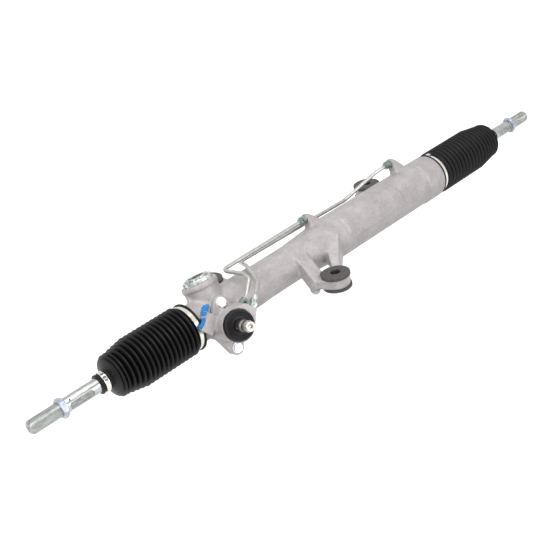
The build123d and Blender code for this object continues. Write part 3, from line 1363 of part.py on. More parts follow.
write("rack_housing", rack_housing())
write("valve_housing", valve_housing())
write("valve_housing_bolts", flange_bolts())
write("bracket_stay_bolt", stay_bolt())
write("pinion_end_cap", pinion_end_cap())
write("pinion_lower_bearing", pinion_lower_bearing())
write("pinion_upper_bearing", pinion_upper_bearing())
write("pinion_oil_seal", pinion_seal())
write("input_shaft_bearing", input_shaft_bearing())
write("input_shaft_seal", input_shaft_seal())
write("seal_retaining_ring", seal_retaining_ring())
write("dust_cover", dust_cover())
write("rack_guide", rack_guide())
write("rack_guide_pad", rack_guide_pad())
write("guide_spring", guide_spring())
write("guide_cap", guide_cap())
write("guide_lock_nut", guide_lock_nut())
write("inner_rack_bush", inner_rack_bush())
write("inner_rack_seal", inner_rack_seal())
write("rack_end_stopper", rack_end_stopper())
write("end_stopper_bush", end_stopper_bush())
write("outer_rack_seal", outer_rack_seal())
write("stopper_o_ring", stopper_o_ring())
write("stopper_retaining_ring", stopper_retaining_ring())
write("front_bush_rubber", bush_rubber(FRONT_EYE))
write("front_bush_sleeve", bush_sleeve(FRONT_EYE))
write("rear_bush_rubbers", [bush_rubber(eye) for eye in REAR_EYES])
write("rear_bush_sleeves", [bush_sleeve(eye) for eye in REAR_EYES])
write("left_chamber_pipe", pipe_between(0, left_corners()))
write("right_chamber_pipe", pipe_between(1, right_corners()))
write("pipe_union_nuts", union_nuts())
write("rack_bar", rack_bar())
write("piston", piston())
write("piston_seal_ring", piston_seal_ring())
write("piston_retaining_rings", piston_retaining_rings())
write("pinion", pinion())
write("valve_sleeve", valve_sleeve())
write("valve_seal_rings", valve_rings())
write("input_shaft", input_shaft())
write("torsion_bar", torsion_bar())
write("torsion_bar_pin", torsion_bar_pin())
for side, hand in ((-1, "left"), (1, "right")):
    write(f"{hand}_socket", socket(side))
    write(f"{hand}_lock_washer", lock_washer(side))
    write(f"{hand}_ball_seat", ball_seat(side))
    write(f"{hand}_tie_rod", tie_rod(side))
    write(f"{hand}_jam_nut", jam_nut(side))
    write(f"{hand}_boot", boot(side))
    write(f"{hand}_boot_large_clamp", large_clamp(side))
    write(f"{hand}_boot_small_clamp", small_clamp(side))
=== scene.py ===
import bpy
import math
import bmesh
import numpy as np
from mathutils import Matrix, Vector
from mathutils.bvhtree import BVHTree


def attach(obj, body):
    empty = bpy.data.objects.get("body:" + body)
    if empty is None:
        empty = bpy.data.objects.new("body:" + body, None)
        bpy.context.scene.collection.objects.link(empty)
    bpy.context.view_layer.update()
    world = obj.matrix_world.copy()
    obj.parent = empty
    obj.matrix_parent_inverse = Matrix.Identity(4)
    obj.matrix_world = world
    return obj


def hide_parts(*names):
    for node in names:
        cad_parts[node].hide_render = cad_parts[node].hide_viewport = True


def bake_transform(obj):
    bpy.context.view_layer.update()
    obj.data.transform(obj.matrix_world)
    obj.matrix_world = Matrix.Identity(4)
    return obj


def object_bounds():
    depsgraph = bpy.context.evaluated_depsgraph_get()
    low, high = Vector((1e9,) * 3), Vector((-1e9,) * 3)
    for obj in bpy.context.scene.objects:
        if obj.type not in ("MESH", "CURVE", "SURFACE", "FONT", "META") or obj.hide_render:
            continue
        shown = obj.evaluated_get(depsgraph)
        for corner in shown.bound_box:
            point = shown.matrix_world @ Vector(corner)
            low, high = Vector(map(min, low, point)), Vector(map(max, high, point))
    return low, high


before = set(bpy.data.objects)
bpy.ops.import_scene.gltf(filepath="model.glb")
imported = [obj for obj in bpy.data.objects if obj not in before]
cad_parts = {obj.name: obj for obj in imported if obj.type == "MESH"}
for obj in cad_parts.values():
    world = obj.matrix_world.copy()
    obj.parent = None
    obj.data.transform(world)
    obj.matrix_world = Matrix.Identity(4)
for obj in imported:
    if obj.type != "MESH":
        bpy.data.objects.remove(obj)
cad_low, cad_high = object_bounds()


# ---- Camera
# The photograph's view: from above the pinion side, about a metre and a half away, with the rack
# running from the lower left to the upper right. Place and turn were solved from the picture.
camera_right = Vector((0.69587, -0.69149, -0.19391))
camera_up = Vector((0.44613, 0.20463, 0.87126))
camera_back = Vector((-0.56279, -0.69279, 0.45089))
camera_place = Vector((-0.919786, -0.993088, 0.702969))
focal_pixels = 960.0
picture_pixels = 560.0


def put_in_scene(name, data):
    """A new object in the scene, made from a lens, a lamp or a mesh."""
    thing = bpy.data.objects.new(name, data)
    bpy.context.scene.collection.objects.link(thing)
    return thing


lens = bpy.data.cameras.new("studio_camera")
lens.sensor_width = 36.0
lens.lens = lens.sensor_width * focal_pixels / picture_pixels
lens.clip_start = 0.01
camera = put_in_scene("studio_camera", lens)
turn = Matrix((camera_right, camera_up, camera_back)).transposed().to_4x4()
camera.matrix_world = Matrix.Translation(camera_place) @ turn
bpy.context.scene.camera = camera
bpy.context.scene.view_settings.view_transform = "Standard"


# ---- Studio: world, lights and floor
# A white sweep with soft light from above and from the camera's left, as in a catalogue picture.
# The eye, mirrors and glass see plain white all round. The light that falls on the rack darkens
# towards the floor, which gives it its shading.
def seen_as_background(tree):
    """One for rays from the camera, a mirror or glass, and nought for light on the object."""
    ray = tree.nodes.new("ShaderNodeLightPath")
    mirrored = tree.nodes.new("ShaderNodeMath")
    mirrored.operation = "MAXIMUM"
    tree.links.new(ray.outputs["Is Glossy Ray"], mirrored.inputs[0])
    tree.links.new(ray.outputs["Is Transmission Ray"], mirrored.inputs[1])
    shown = tree.nodes.new("ShaderNodeMath")
    shown.operation = "MAXIMUM"
    tree.links.new(ray.outputs["Is Camera Ray"], shown.inputs[0])
    tree.links.new(mirrored.outputs[0], shown.inputs[1])
    return shown.outputs[0]


world = bpy.data.worlds.new("studio")
bpy.context.scene.world = world
world.use_nodes = True
sky = world.node_tree
sky.nodes.clear()
way_out = sky.nodes.new("ShaderNodeTexCoord")
split = sky.nodes.new("ShaderNodeSeparateXYZ")
lift = sky.nodes.new("ShaderNodeMapRange")
lift.inputs["From Min"].default_value = -1.0
lift.inputs["From Max"].default_value = 1.0
fall = sky.nodes.new("ShaderNodeValToRGB")
fall.color_ramp.elements[0].position = 0.0
fall.color_ramp.elements[0].color = (0.06, 0.06, 0.065, 1)
fall.color_ramp.elements[1].position = 0.72
fall.color_ramp.elements[1].color = (0.95, 0.96, 0.98, 1)
band = fall.color_ramp.elements.new(0.42)
band.color = (0.20, 0.20, 0.205, 1)
white = sky.nodes.new("ShaderNodeBackground")
white.inputs["Color"].default_value = (1.0, 1.0, 1.0, 1)
shade = sky.nodes.new("ShaderNodeBackground")
shade.inputs["Strength"].default_value = 0.85
choice = sky.nodes.new("ShaderNodeMixShader")
out = sky.nodes.new("ShaderNodeOutputWorld")
sky.links.new(way_out.outputs["Generated"], split.inputs[0])
sky.links.new(split.outputs["Z"], lift.inputs["Value"])
sky.links.new(lift.outputs["Result"], fall.inputs["Fac"])
sky.links.new(fall.outputs["Color"], shade.inputs["Color"])
sky.links.new(seen_as_background(sky), choice.inputs[0])
sky.links.new(shade.outputs[0], choice.inputs[1])
sky.links.new(white.outputs[0], choice.inputs[2])
sky.links.new(choice.outputs[0], out.inputs[0])


def soft_light(name, place, aim, size, power):
    """A square soft box at a place, turned to a point."""
    box = bpy.data.lights.new(name, "AREA")
    box.size = size
    box.energy = power
    lamp = put_in_scene(name, box)
    lamp.location = place
    lamp.rotation_euler = (Vector(aim) - Vector(place)).to_track_quat("-Z", "Y").to_euler()


soft_light("top_box", place=(-0.25, -0.15, 1.55), aim=(0.0, 0.05, 0.0), size=1.3, power=9.5)
soft_light("left_box", place=(-1.5, -0.35, 0.95), aim=(-0.15, 0.05, 0.0), size=0.8, power=7.5)
soft_light("front_box", place=(0.25, -1.5, 0.55), aim=(0.1, 0.05, 0.0), size=0.9, power=7.5)

floor_reach = 6.0
floor_drop = 0.026  # below the castings, because the tie rods dip past them when they tilt
floor_height = cad_low[2] - floor_drop
floor_mesh = bpy.data.meshes.new("floor")
floor_mesh.from_pydata([(floor_reach * x, floor_reach * y, floor_height)
                        for x, y in ((-1, -1), (1, -1), (1, 1), (-1, 1))], [], [(0, 1, 2, 3)])
floor = put_in_scene("floor", floor_mesh)
sweep = bpy.data.materials.new("white_sweep")
sweep.use_nodes = True
paper = sweep.node_tree
paper_shader = paper.nodes["Principled BSDF"]
paper_shader.inputs["Base Color"].default_value = (0.42, 0.42, 0.42, 1)
paper_shader.inputs["Roughness"].default_value = 0.9
paper_shader.inputs["Specular IOR Level"].default_value = 0.1
glow = paper.nodes.new("ShaderNodeEmission")
glow.inputs["Color"].default_value = (1.0, 1.0, 1.0, 1)
glow.inputs["Strength"].default_value = 0.86
nothing = paper.nodes.new("ShaderNodeEmission")
nothing.inputs["Strength"].default_value = 0.0
pick = paper.nodes.new("ShaderNodeMixShader")
both = paper.nodes.new("ShaderNodeAddShader")
paper.links.new(seen_as_background(paper), pick.inputs[0])
paper.links.new(nothing.outputs[0], pick.inputs[1])
paper.links.new(glow.outputs[0], pick.inputs[2])
paper.links.new(paper_shader.outputs[0], both.inputs[0])
paper.links.new(pick.outputs[0], both.inputs[1])
paper.links.new(both.outputs[0], paper.nodes["Material Output"].inputs["Surface"])
floor_mesh.materials.append(sweep)


# ---- Rack housing
# One sand casting in aluminium: sleeves for the boots, tube, cylinder, pinion and guide bosses,
# three eyes and two oil port bosses. Its skin is blasted, with the grain of the sand still in it.
def finish(name, light, dark, patches, rough, spread, metal, grain, depth,
           stretch=(1, 1, 1), edge=0.0004, gloss=0.5, specks=None):
    """A surface of two close colours in cloudy patches, with specks where they are asked for.

    Patches, grain and specks are in clouds to the metre. The grain is in the roughness, which it
    moves by the spread, and in the height. The edge is how far a corner looks rounded, in metres."""
    made = bpy.data.materials.new(name)
    made.use_nodes = True
    tree = made.node_tree
    shader = tree.nodes["Principled BSDF"]
    shader.inputs["Metallic"].default_value = metal
    shader.inputs["Specular IOR Level"].default_value = gloss
    place = tree.nodes.new("ShaderNodeTexCoord")
    scale = tree.nodes.new("ShaderNodeMapping")
    scale.inputs["Scale"].default_value = stretch
    tree.links.new(place.outputs["Object"], scale.inputs["Vector"])

    def clouds(size, detail, breakup):
        """Soft noise over the piece."""
        noise = tree.nodes.new("ShaderNodeTexNoise")
        noise.inputs["Scale"].default_value = size
        noise.inputs["Detail"].default_value = detail
        noise.inputs["Roughness"].default_value = breakup
        tree.links.new(scale.outputs["Vector"], noise.inputs["Vector"])
        return noise.outputs["Fac"]

    def tinted(amount, low, low_colour, high, high_colour):
        """The noise as a colour that runs from one tone to another."""
        ramp = tree.nodes.new("ShaderNodeValToRGB")
        ramp.color_ramp.elements[0].position = low
        ramp.color_ramp.elements[0].color = (*low_colour, 1)
        ramp.color_ramp.elements[1].position = high
        ramp.color_ramp.elements[1].color = (*high_colour, 1)
        tree.links.new(amount, ramp.inputs["Fac"])
        return ramp.outputs["Color"]

    colour = tinted(clouds(patches, 5.0, 0.6), 0.3, dark, 0.7, light)
    if specks:
        speck_size, speck_tone = specks
        mix = tree.nodes.new("ShaderNodeMix")
        mix.data_type = "RGBA"
        mix.blend_type = "MULTIPLY"
        mix.inputs["Factor"].default_value = 1.0
        tree.links.new(colour, mix.inputs["A"])
        sieve = tinted(clouds(speck_size, 6.0, 0.75), 0.36, speck_tone, 0.56, (1, 1, 1))
        tree.links.new(sieve, mix.inputs["B"])
        colour = mix.outputs["Result"]
    tree.links.new(colour, shader.inputs["Base Color"])

    sand = clouds(grain, 3.0, 0.5)
    sheen = tree.nodes.new("ShaderNodeMapRange")
    sheen.inputs["To Min"].default_value = rough - spread
    sheen.inputs["To Max"].default_value = rough + spread
    tree.links.new(sand, sheen.inputs["Value"])
    tree.links.new(sheen.outputs["Result"], shader.inputs["Roughness"])
    height = tree.nodes.new("ShaderNodeBump")
    height.inputs["Strength"].default_value = depth
    height.inputs["Distance"].default_value = 0.0004
    tree.links.new(sand, height.inputs["Height"])
    if edge:
        soft = tree.nodes.new("ShaderNodeBevel")
        soft.samples = 4
        soft.inputs["Radius"].default_value = edge
        tree.links.new(soft.outputs["Normal"], height.inputs["Normal"])
    tree.links.new(height.outputs["Normal"], shader.inputs["Normal"])
    return made


def wear(material, *nodes):
    """Gives CAD nodes their material."""
    for node in nodes:
        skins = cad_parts[node].data.materials
        skins.clear()
        skins.append(material)


def dress(mesh, material, crease):
    """Gives a mesh its material and smooth shading, with edges where it turns by the crease."""
    mesh.materials.clear()
    mesh.materials.append(material)
    mesh.shade_smooth()
    mesh.set_sharp_from_angle(angle=math.radians(crease))
    mesh.update()


def mesh_of(node):
    """A CAD node's corners and faces at rest, in the row frame."""
    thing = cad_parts[node]
    place = thing.matrix_world
    corners = [place @ v.co for v in thing.data.vertices]
    return corners, [tuple(p.vertices) for p in thing.data.polygons]


def tree_of(things):
    """A search tree over several objects at rest."""
    corners, faces = [], []
    for thing in things:
        faces += [tuple(i + len(corners) for i in p.vertices) for p in thing.data.polygons]
        corners += [thing.matrix_world @ v.co for v in thing.data.vertices]
    return BVHTree.FromPolygons(corners, faces)


def shaped_mesh(piece):
    """The mesh of an object after its modifiers."""
    bpy.context.view_layer.update()
    return bpy.data.meshes.new_from_object(
        piece.evaluated_get(bpy.context.evaluated_depsgraph_get()))


bar_middle = Vector((0.055, 0.079, 0.0215))  # on the bar's axis, midway between the sleeves
bar_bore = 0.0295
fill_least = 0.00025  # an inner corner fills where the mould's rounding lifts it by more
edge_least = 0.0005  # an outer edge rounds where the rounding takes more off it
edge_most = 0.0007  # and never by more than this
round_ease = 0.0004  # over which the rounding comes in
seat_room = 0.0018  # walls this near a neighbour stay as they are
seat_ease = 0.003
neighbour_reach = 0.006


def foundry_copy(node, voxel, rounds, material, added=()):
    """A copy of a casting with its inner corners filled out, as a mould leaves them.

    Bores and walls near other parts stay on the CAD's surface. The boots don't count: they are
    rubber and are made to measure further down."""
    corners, faces = mesh_of(node)
    for solid in added:
        faces += [tuple(i + len(corners) for i in p.vertices) for p in solid.polygons]
        corners += [v.co.copy() for v in solid.vertices]
    rough = bpy.data.meshes.new(f"{node}_rough")
    rough.from_pydata(corners, [], faces)
    piece = put_in_scene(f"{node}_cast", rough)
    fine = piece.modifiers.new("fine", "REMESH")
    fine.mode = "VOXEL"
    fine.voxel_size = voxel
    mesh = shaped_mesh(piece)
    piece.modifiers.clear()
    piece.data = mesh
    count = len(mesh.vertices)
    start = np.empty(count * 3)
    mesh.vertices.foreach_get("co", start)
    start = start.reshape(-1, 3)
    normals = np.empty(count * 3)
    mesh.vertices.foreach_get("normal", normals)
    normals = normals.reshape(-1, 3)
    edges = np.empty(len(mesh.edges) * 2, np.int32)
    mesh.edges.foreach_get("vertices", edges)
    one, two = edges.reshape(-1, 2).T
    links = np.maximum(np.bincount(one, minlength=count) + np.bincount(two, minlength=count), 1)
    soft = start.copy()
    for _ in range(rounds):
        for axis in range(3):
            total = np.bincount(one, soft[two, axis], count)
            total = total + np.bincount(two, soft[one, axis], count)
            soft[:, axis] += 0.5 * (total / links - soft[:, axis])
    exact = BVHTree.FromPolygons(corners, faces)
    others = tree_of([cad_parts[name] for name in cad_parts
                      if name not in (node, "left_boot", "right_boot")])
    snapped = start.copy()
    weight = np.zeros(count)
    shift = soft - start
    moved = np.linalg.norm(shift, axis=1)
    outward = (shift * normals).sum(axis=1)
    for i in range(count):
        point = Vector(start[i])
        place, _, _, gap = exact.find_nearest(point)
        if gap < voxel * 0.6:
            snapped[i] = place
        least = edge_least if outward[i] < 0 else fill_least
        in_bore = math.hypot(point.y - bar_middle.y, point.z - bar_middle.z) < bar_bore
        if moved[i] > least and not in_bore:
            share = min(1.0, (moved[i] - least) / round_ease)
            if outward[i] < 0:
                share *= min(1.0, edge_most / moved[i])
            close = others.find_nearest(point, neighbour_reach)[3]
            if close is not None:
                share *= max(0.0, min(1.0, (close - seat_room) / seat_ease))
            weight[i] = share
    final = snapped + (soft - snapped) * weight[:, None]
    mesh.vertices.foreach_set("co", final.astype(np.float32).ravel())
    dress(mesh, material, crease=50.0)
    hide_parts(node)
    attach(piece, "housing")
    return piece


cast_skin = finish("cast_skin", light=(0.52, 0.49, 0.482), dark=(0.40, 0.375, 0.375), patches=42.0,
                   rough=0.5, spread=0.09, metal=0.3, grain=900.0, depth=0.5, edge=0.001,
                   specks=(260.0, (0.84, 0.82, 0.80)))
rack_casting = foundry_copy("rack_housing", voxel=0.0017, rounds=14, material=cast_skin)


# ---- Valve housing
# The upper casting, in the same aluminium a shade paler, bolted on the pinion boss by two ears.
# Its square lug stands over the near boot's mouth, a little hollowed to clear it.
pale_skin = finish("pale_skin", light=(0.53, 0.50, 0.49), dark=(0.42, 0.395, 0.395), patches=55.0,
                   rough=0.47, spread=0.08, metal=0.3, grain=950.0, depth=0.45, edge=0.0008,
                   specks=(300.0, (0.86, 0.84, 0.82)))
pinion_root = Vector((-0.191, 0.072669, 0.004106))
pinion_way = Vector((-0.22495, -0.91561, 0.33325)).normalized()
lug_face = ((210.6, 313.9), (221.0, 317.7), (212.7, 336.0), (201.8, 331.4))
lug_face_along = 0.061
lug_foot = ((206.0, 311.0), (221.0, 317.7), (212.7, 336.0), (197.4, 328.0))
lug_foot_along = 0.050
lug_root_depth = 0.019
boot_mouth_from_middle = 0.3305
boot_mouth_clearance = 0.0415
valve_bore = 0.024


def sight_line(across, down):
    """From the camera through a point of the picture, in pixels from its upper left corner."""
    return (camera_right * (across - picture_pixels / 2) + camera_up * (picture_pixels / 2 - down)
            - camera_back * focal_pixels)


def seen_at(pixel, along):
    """Where a pixel lies on the plane across the pinion's axis, this far along it."""
    sight = sight_line(*pixel)
    plane_point = pinion_root + pinion_way * along
    reach = (plane_point - camera_place).dot(pinion_way) / sight.dot(pinion_way)
    return camera_place + sight * reach


def closed_mesh(name, work):
    """A mesh of worked faces, all turned outward."""
    bmesh.ops.recalc_face_normals(work, faces=work.faces)
    mesh = bpy.data.meshes.new(name)
    work.to_mesh(mesh)
    work.free()
    return mesh


def round_cutter(name, middle, way, radius, length):
    """A round bar that cuts a seat into the lug."""
    work = bmesh.new()
    place = Matrix.Translation(middle) @ way.to_track_quat("Z", "Y").to_matrix().to_4x4()
    bmesh.ops.create_cone(work, cap_ends=True, segments=128, radius1=radius, radius2=radius,
                          depth=length, matrix=place)
    return put_in_scene(name, closed_mesh(name, work))


def side_lug():
    """The square lug: a sloping block on a straight root, hollowed over the boot's mouth."""
    corners = [seen_at(pixel, lug_face_along) for pixel in lug_face]
    corners += [seen_at(pixel, lug_foot_along) for pixel in lug_foot]
    corners += [point - pinion_way * lug_root_depth for point in corners[4:]]
    faces = [(3, 2, 1, 0), (8, 9, 10, 11)]
    for row in (0, 4):
        for i in range(4):
            after = (i + 1) % 4
            faces.append((row + i, row + after, row + 4 + after, row + 4 + i))
    work = bmesh.new()
    points = [work.verts.new(corner) for corner in corners]
    for face in faces:
        work.faces.new([points[i] for i in face])
    lug = put_in_scene("side_lug", closed_mesh("side_lug", work))
    over_boot = round_cutter("over_boot", bar_middle - Vector((boot_mouth_from_middle, 0.0, 0.0)),
                             Vector((1.0, 0.0, 0.0)), boot_mouth_clearance, 0.08)
    round_bore = round_cutter("round_bore", pinion_root + pinion_way * 0.05, pinion_way,
                              valve_bore, 0.12)
    for cutter in (over_boot, round_bore):
        cut = lug.modifiers.new(cutter.name, "BOOLEAN")
        cut.operation = "DIFFERENCE"
        cut.solver = "EXACT"
        cut.object = cutter
    solid = shaped_mesh(lug)
    for thing in (lug, over_boot, round_bore):
        bpy.data.objects.remove(thing)
    return solid


valve_casting = foundry_copy("valve_housing", voxel=0.0009, rounds=8, material=pale_skin,
                             added=(side_lug(),))


# ---- Paint marks
# Two dabs of blue paint that the works leaves beside the joint of the two castings. They lie on
# the housing where the picture shows them, a tenth of a millimetre thick, with a ragged rim.
paint_blue = finish("paint_blue", light=(0.008, 0.34, 0.76), dark=(0.002, 0.13, 0.42), patches=330.0,
                    rough=0.36, spread=0.1, metal=0.0, grain=900.0, depth=0.4, edge=0.0,
                    specks=(420.0, (0.2, 0.3, 0.45)))
upper_dab = ((203.2, 305.4), (206.6, 304.0), (209.3, 304.2), (208.9, 308.5), (207.6, 313.6),
             (205.2, 316.8), (202.4, 316.4), (199.9, 315.0), (200.6, 311.0), (201.6, 307.6))
lower_dab = ((200.4, 318.2), (203.4, 317.6), (206.2, 317.4), (205.7, 321.8), (203.9, 326.4),
             (201.3, 330.6), (199.2, 330.2), (197.2, 327.2), (196.8, 323.4), (198.4, 320.2))
paint_thickness = 0.00012
rim_thickness = 0.00002
paint_rings = 6


def dab(name, outline, target, material, body):
    """A thin skin of paint inside an outline of pixels, laid on the target's surface."""
    centre = Vector([sum(pixel[k] for pixel in outline) / len(outline) for k in (0, 1)])
    rim = []
    for one, two in zip(outline, outline[1:] + outline[:1]):
        rim += [Vector(one).lerp(Vector(two), share / 4) for share in range(4)]
    work = bmesh.new()
    rows = []
    last = paint_rings - 1
    for ring in range(paint_rings):
        row = []
        for k, point in enumerate(rim):
            ragged = 1.0 + (0.05 * math.sin(k * 2.3) + 0.04 * math.sin(k * 5.1)) * (ring == last)
            pixel = centre.lerp(point, (0.04 + 0.96 * ring / last) * ragged)
            sight = sight_line(pixel.x, pixel.y)
            hit, normal, _, _ = target.ray_cast(camera_place, sight.normalized())
            rise = paint_thickness if ring < last else rim_thickness
            row.append(work.verts.new(hit + normal * rise))
        rows.append(row)
    for near, far in zip(rows, rows[1:]):
        for k in range(len(rim)):
            after = (k + 1) % len(rim)
            work.faces.new((near[k], near[after], far[after], far[k]))
    work.faces.new(rows[0])
    skin = closed_mesh(name, work)
    skin.materials.append(material)
    skin.shade_smooth()
    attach(put_in_scene(name, skin), body)


castings = tree_of((rack_casting, valve_casting))
dab("upper_paint_dab", upper_dab, castings, paint_blue, "housing")
dab("lower_paint_dab", lower_dab, castings, paint_blue, "housing")


# ---- Bolts
# Hexagon bolts of rolled steel. Two bright zinc plated ones clamp the valve housing's ears to the
# pinion boss, and a duller one is screwed up into the stay boss under the front bracket.
bolt_zinc = finish("bolt_zinc", light=(0.84, 0.84, 0.83), dark=(0.62, 0.63, 0.64), patches=220.0,
                   rough=0.3, spread=0.08, metal=1.0, grain=1500.0, depth=0.06, edge=0.0005)
wear(bolt_zinc, "valve_housing_bolts")
dull_zinc = finish("dull_zinc", light=(0.46, 0.50, 0.48), dark=(0.28, 0.31, 0.30), patches=260.0,
                   rough=0.36, spread=0.1, metal=1.0, grain=1200.0, depth=0.12, edge=0.0005)
wear(dull_zinc, "bracket_stay_bolt")


# ---- Pinion, rack bar, valve, bearings and seals
# What works inside the castings: ground and hardened steel, with dark rubber lips, bronze liners
# and filled plastic rings. They are pressed in, screwed in or held by spring rings.
ground_steel = finish("ground_steel", light=(0.60, 0.60, 0.61), dark=(0.48, 0.48, 0.50),
                      patches=160.0, rough=0.27, spread=0.05, metal=1.0, grain=900.0, depth=0.05,
                      stretch=(1, 8, 8))
wear(ground_steel, "pinion", "pinion_lower_bearing", "pinion_upper_bearing",
     "input_shaft_bearing", "valve_sleeve", "piston", "rack_bar")
dark_steel = finish("dark_steel", light=(0.20, 0.20, 0.21), dark=(0.12, 0.12, 0.13), patches=140.0,
                    rough=0.45, spread=0.08, metal=1.0, grain=900.0, depth=0.1)
wear(dark_steel, "left_socket", "right_socket", "left_lock_washer", "right_lock_washer")
spring_steel = finish("spring_steel", light=(0.32, 0.32, 0.34), dark=(0.22, 0.22, 0.24),
                      patches=200.0, rough=0.38, spread=0.06, metal=1.0, grain=1000.0, depth=0.08)
wear(spring_steel, "torsion_bar", "torsion_bar_pin", "seal_retaining_ring",
     "stopper_retaining_ring", "guide_spring", "piston_retaining_rings")
seal_rubber = finish("seal_rubber", light=(0.030, 0.028, 0.032), dark=(0.018, 0.017, 0.020),
                     patches=120.0, rough=0.5, spread=0.1, metal=0.0, grain=1400.0, depth=0.18)
wear(seal_rubber, "pinion_oil_seal", "input_shaft_seal", "inner_rack_seal", "outer_rack_seal",
     "stopper_o_ring")
bronze = finish("bronze", light=(0.50, 0.34, 0.16), dark=(0.36, 0.24, 0.11), patches=180.0,
                rough=0.42, spread=0.08, metal=0.9, grain=1500.0, depth=0.15)
wear(bronze, "rack_guide_pad", "inner_rack_bush", "end_stopper_bush")
ring_plastic = finish("ring_plastic", light=(0.30, 0.19, 0.09), dark=(0.22, 0.13, 0.06),
                      patches=200.0, rough=0.45, spread=0.06, metal=0.0, grain=1200.0, depth=0.08)
wear(ring_plastic, "valve_seal_rings", "piston_seal_ring")
seat_plastic = finish("seat_plastic", light=(0.80, 0.78, 0.72), dark=(0.70, 0.68, 0.62),
                      patches=150.0, rough=0.4, spread=0.05, metal=0.0, grain=900.0, depth=0.05)
wear(seat_plastic, "left_ball_seat", "right_ball_seat")
turned_aluminium = finish("turned_aluminium", light=(0.74, 0.74, 0.75), dark=(0.62, 0.62, 0.64),
                          patches=200.0, rough=0.3, spread=0.07, metal=0.9, grain=1400.0,
                          depth=0.08)
wear(turned_aluminium, "pinion_end_cap", "rack_guide", "rack_end_stopper")


# ---- Dust cover and input shaft
# A moulded rubber cap is pulled over the valve housing's neck. The steel shaft comes through it,
# turned bright, with rolled splines, a groove for the clamp bolt and the lathe's centre hole.
cover_rubber = finish("cover_rubber", light=(0.013, 0.011, 0.014), dark=(0.006, 0.005, 0.007),
                      patches=90.0, rough=0.44, spread=0.1, metal=0.0, grain=1100.0, depth=0.2,
                      edge=0.0008, gloss=0.24)
wear(cover_rubber, "dust_cover")
shaft_steel = finish("shaft_steel", light=(0.60, 0.57, 0.54), dark=(0.34, 0.32, 0.30),
                     patches=300.0, rough=0.28, spread=0.08, metal=1.0, grain=1400.0, depth=0.08,
                     edge=0.0003)
turned_crease = 28.0
spline_start = 0.1095
spline_count = 36


def cut_copy(name, node, point, way, material):
    """A copy of a CAD node's mesh, cut off square at a plane and closed there."""
    corners, faces = mesh_of(node)
    mesh = bpy.data.meshes.new(name)
    mesh.from_pydata(corners, [], faces)
    work = bmesh.new()
    work.from_mesh(mesh)
    bmesh.ops.remove_doubles(work, verts=work.verts, dist=0.000001)
    cut = bmesh.ops.bisect_plane(work, geom=work.verts[:] + work.edges[:] + work.faces[:],
                                 plane_co=point, plane_no=way, clear_outer=True)
    rim = [e for e in cut["geom_cut"] if isinstance(e, bmesh.types.BMEdge) and e.is_boundary]
    bmesh.ops.contextual_create(work, geom=rim)
    bmesh.ops.recalc_face_normals(work, faces=work.faces)
    work.to_mesh(mesh)
    work.free()
    dress(mesh, material, turned_crease)
    piece = put_in_scene(name, mesh)
    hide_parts(node)
    return piece


def ringed_skin(name, origin, way, rings, around, material, crease=turned_crease):
    """A closed skin about an axis. Each ring says how far along and how wide it is, in mm, at a
    share of the turn, and the two ends close on the axis."""
    side = way.orthogonal().normalized()
    up = way.cross(side)
    corners, faces = [], []
    for ring in rings:
        for step in range(around):
            along, radius = ring(step / around)
            angle = 2 * math.pi * step / around
            spoke = side * math.cos(angle) + up * math.sin(angle)
            corners.append(origin + way * (along / 1000) + spoke * (radius / 1000))
    for row in range(len(rings) - 1):
        here, there = row * around, (row + 1) * around
        for step in range(around):
            after = (step + 1) % around
            faces.append((here + step, here + after, there + after, there + step))
    for row, turned in ((0, True), (len(rings) - 1, False)):
        ring = [row * around + step for step in range(around)]
        middle = len(corners)
        corners.append(sum((corners[i] for i in ring), Vector()) / around)
        for step in range(around):
            here, after = ring[step], ring[(step + 1) % around]
            faces.append((after, here, middle) if turned else (here, after, middle))
    mesh = bpy.data.meshes.new(name)
    mesh.from_pydata(corners, [], faces)
    dress(mesh, material, crease)
    return put_in_scene(name, mesh)


def plain(along, radius):
    """A round ring."""
    return lambda turn: (along, radius)


def toothed(along, crest, root):
    """A ring through the splines: flat crests, sloping flanks."""
    def at(turn):
        phase = turn * spline_count % 1.0
        rise = min(1.0, max(0.0, 4.4 * (0.5 - abs(phase - 0.5)) - 0.5))
        return along, root + (crest - root) * rise
    return at


splined_rings = [
    plain(109.5, 8.6), plain(110.0, 8.1),
    toothed(110.6, 8.65, 7.9), toothed(123.0, 8.65, 7.9), toothed(123.8, 8.2, 7.85),
    plain(124.0, 7.7), plain(126.2, 7.6), plain(126.4, 7.1), plain(127.2, 7.1),
    plain(127.4, 7.55), plain(129.2, 7.55), plain(130.0, 6.8),
    plain(130.0, 4.6), plain(129.6, 4.2), plain(129.4, 2.9), plain(126.5, 1.6)]
shaft_body = cut_copy("input_shaft_body", "input_shaft", pinion_root + pinion_way * spline_start,
                      pinion_way, shaft_steel)
shaft_end = ringed_skin("input_shaft_splines", pinion_root, pinion_way, splined_rings,
                        spline_count * 8, shaft_steel)
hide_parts("input_shaft")
for piece in (shaft_body, shaft_end):
    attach(piece, "steering_input")


# ---- Guide cap and lock nut
# The adjusting plug over the rack guide, and the notched ring that locks it. Both are plated
# steel, with painted shade and painted reflections: their colour runs in cloudy patches, bright to
# dark.
# Painted shade and painted reflections: the ring's colour goes from bright to near black in patches.
ring_zinc_with_painted_shade = finish("ring_zinc_with_painted_shade", light=(0.80, 0.82, 0.80), dark=(0.30, 0.33, 0.32), patches=260.0,
                   rough=0.34, spread=0.1, metal=1.0, grain=1300.0, depth=0.1, edge=0.0005)
wear(ring_zinc_with_painted_shade, "guide_lock_nut")
# Painted shade and painted reflections: the plug's colour goes from bright to near black in patches.
plug_zinc_with_painted_shade = finish("plug_zinc_with_painted_shade", light=(0.70, 0.72, 0.70), dark=(0.16, 0.18, 0.17), patches=340.0,
                   rough=0.38, spread=0.1, metal=1.0, grain=1300.0, depth=0.12, edge=0.0005)
wear(plug_zinc_with_painted_shade, "guide_cap")


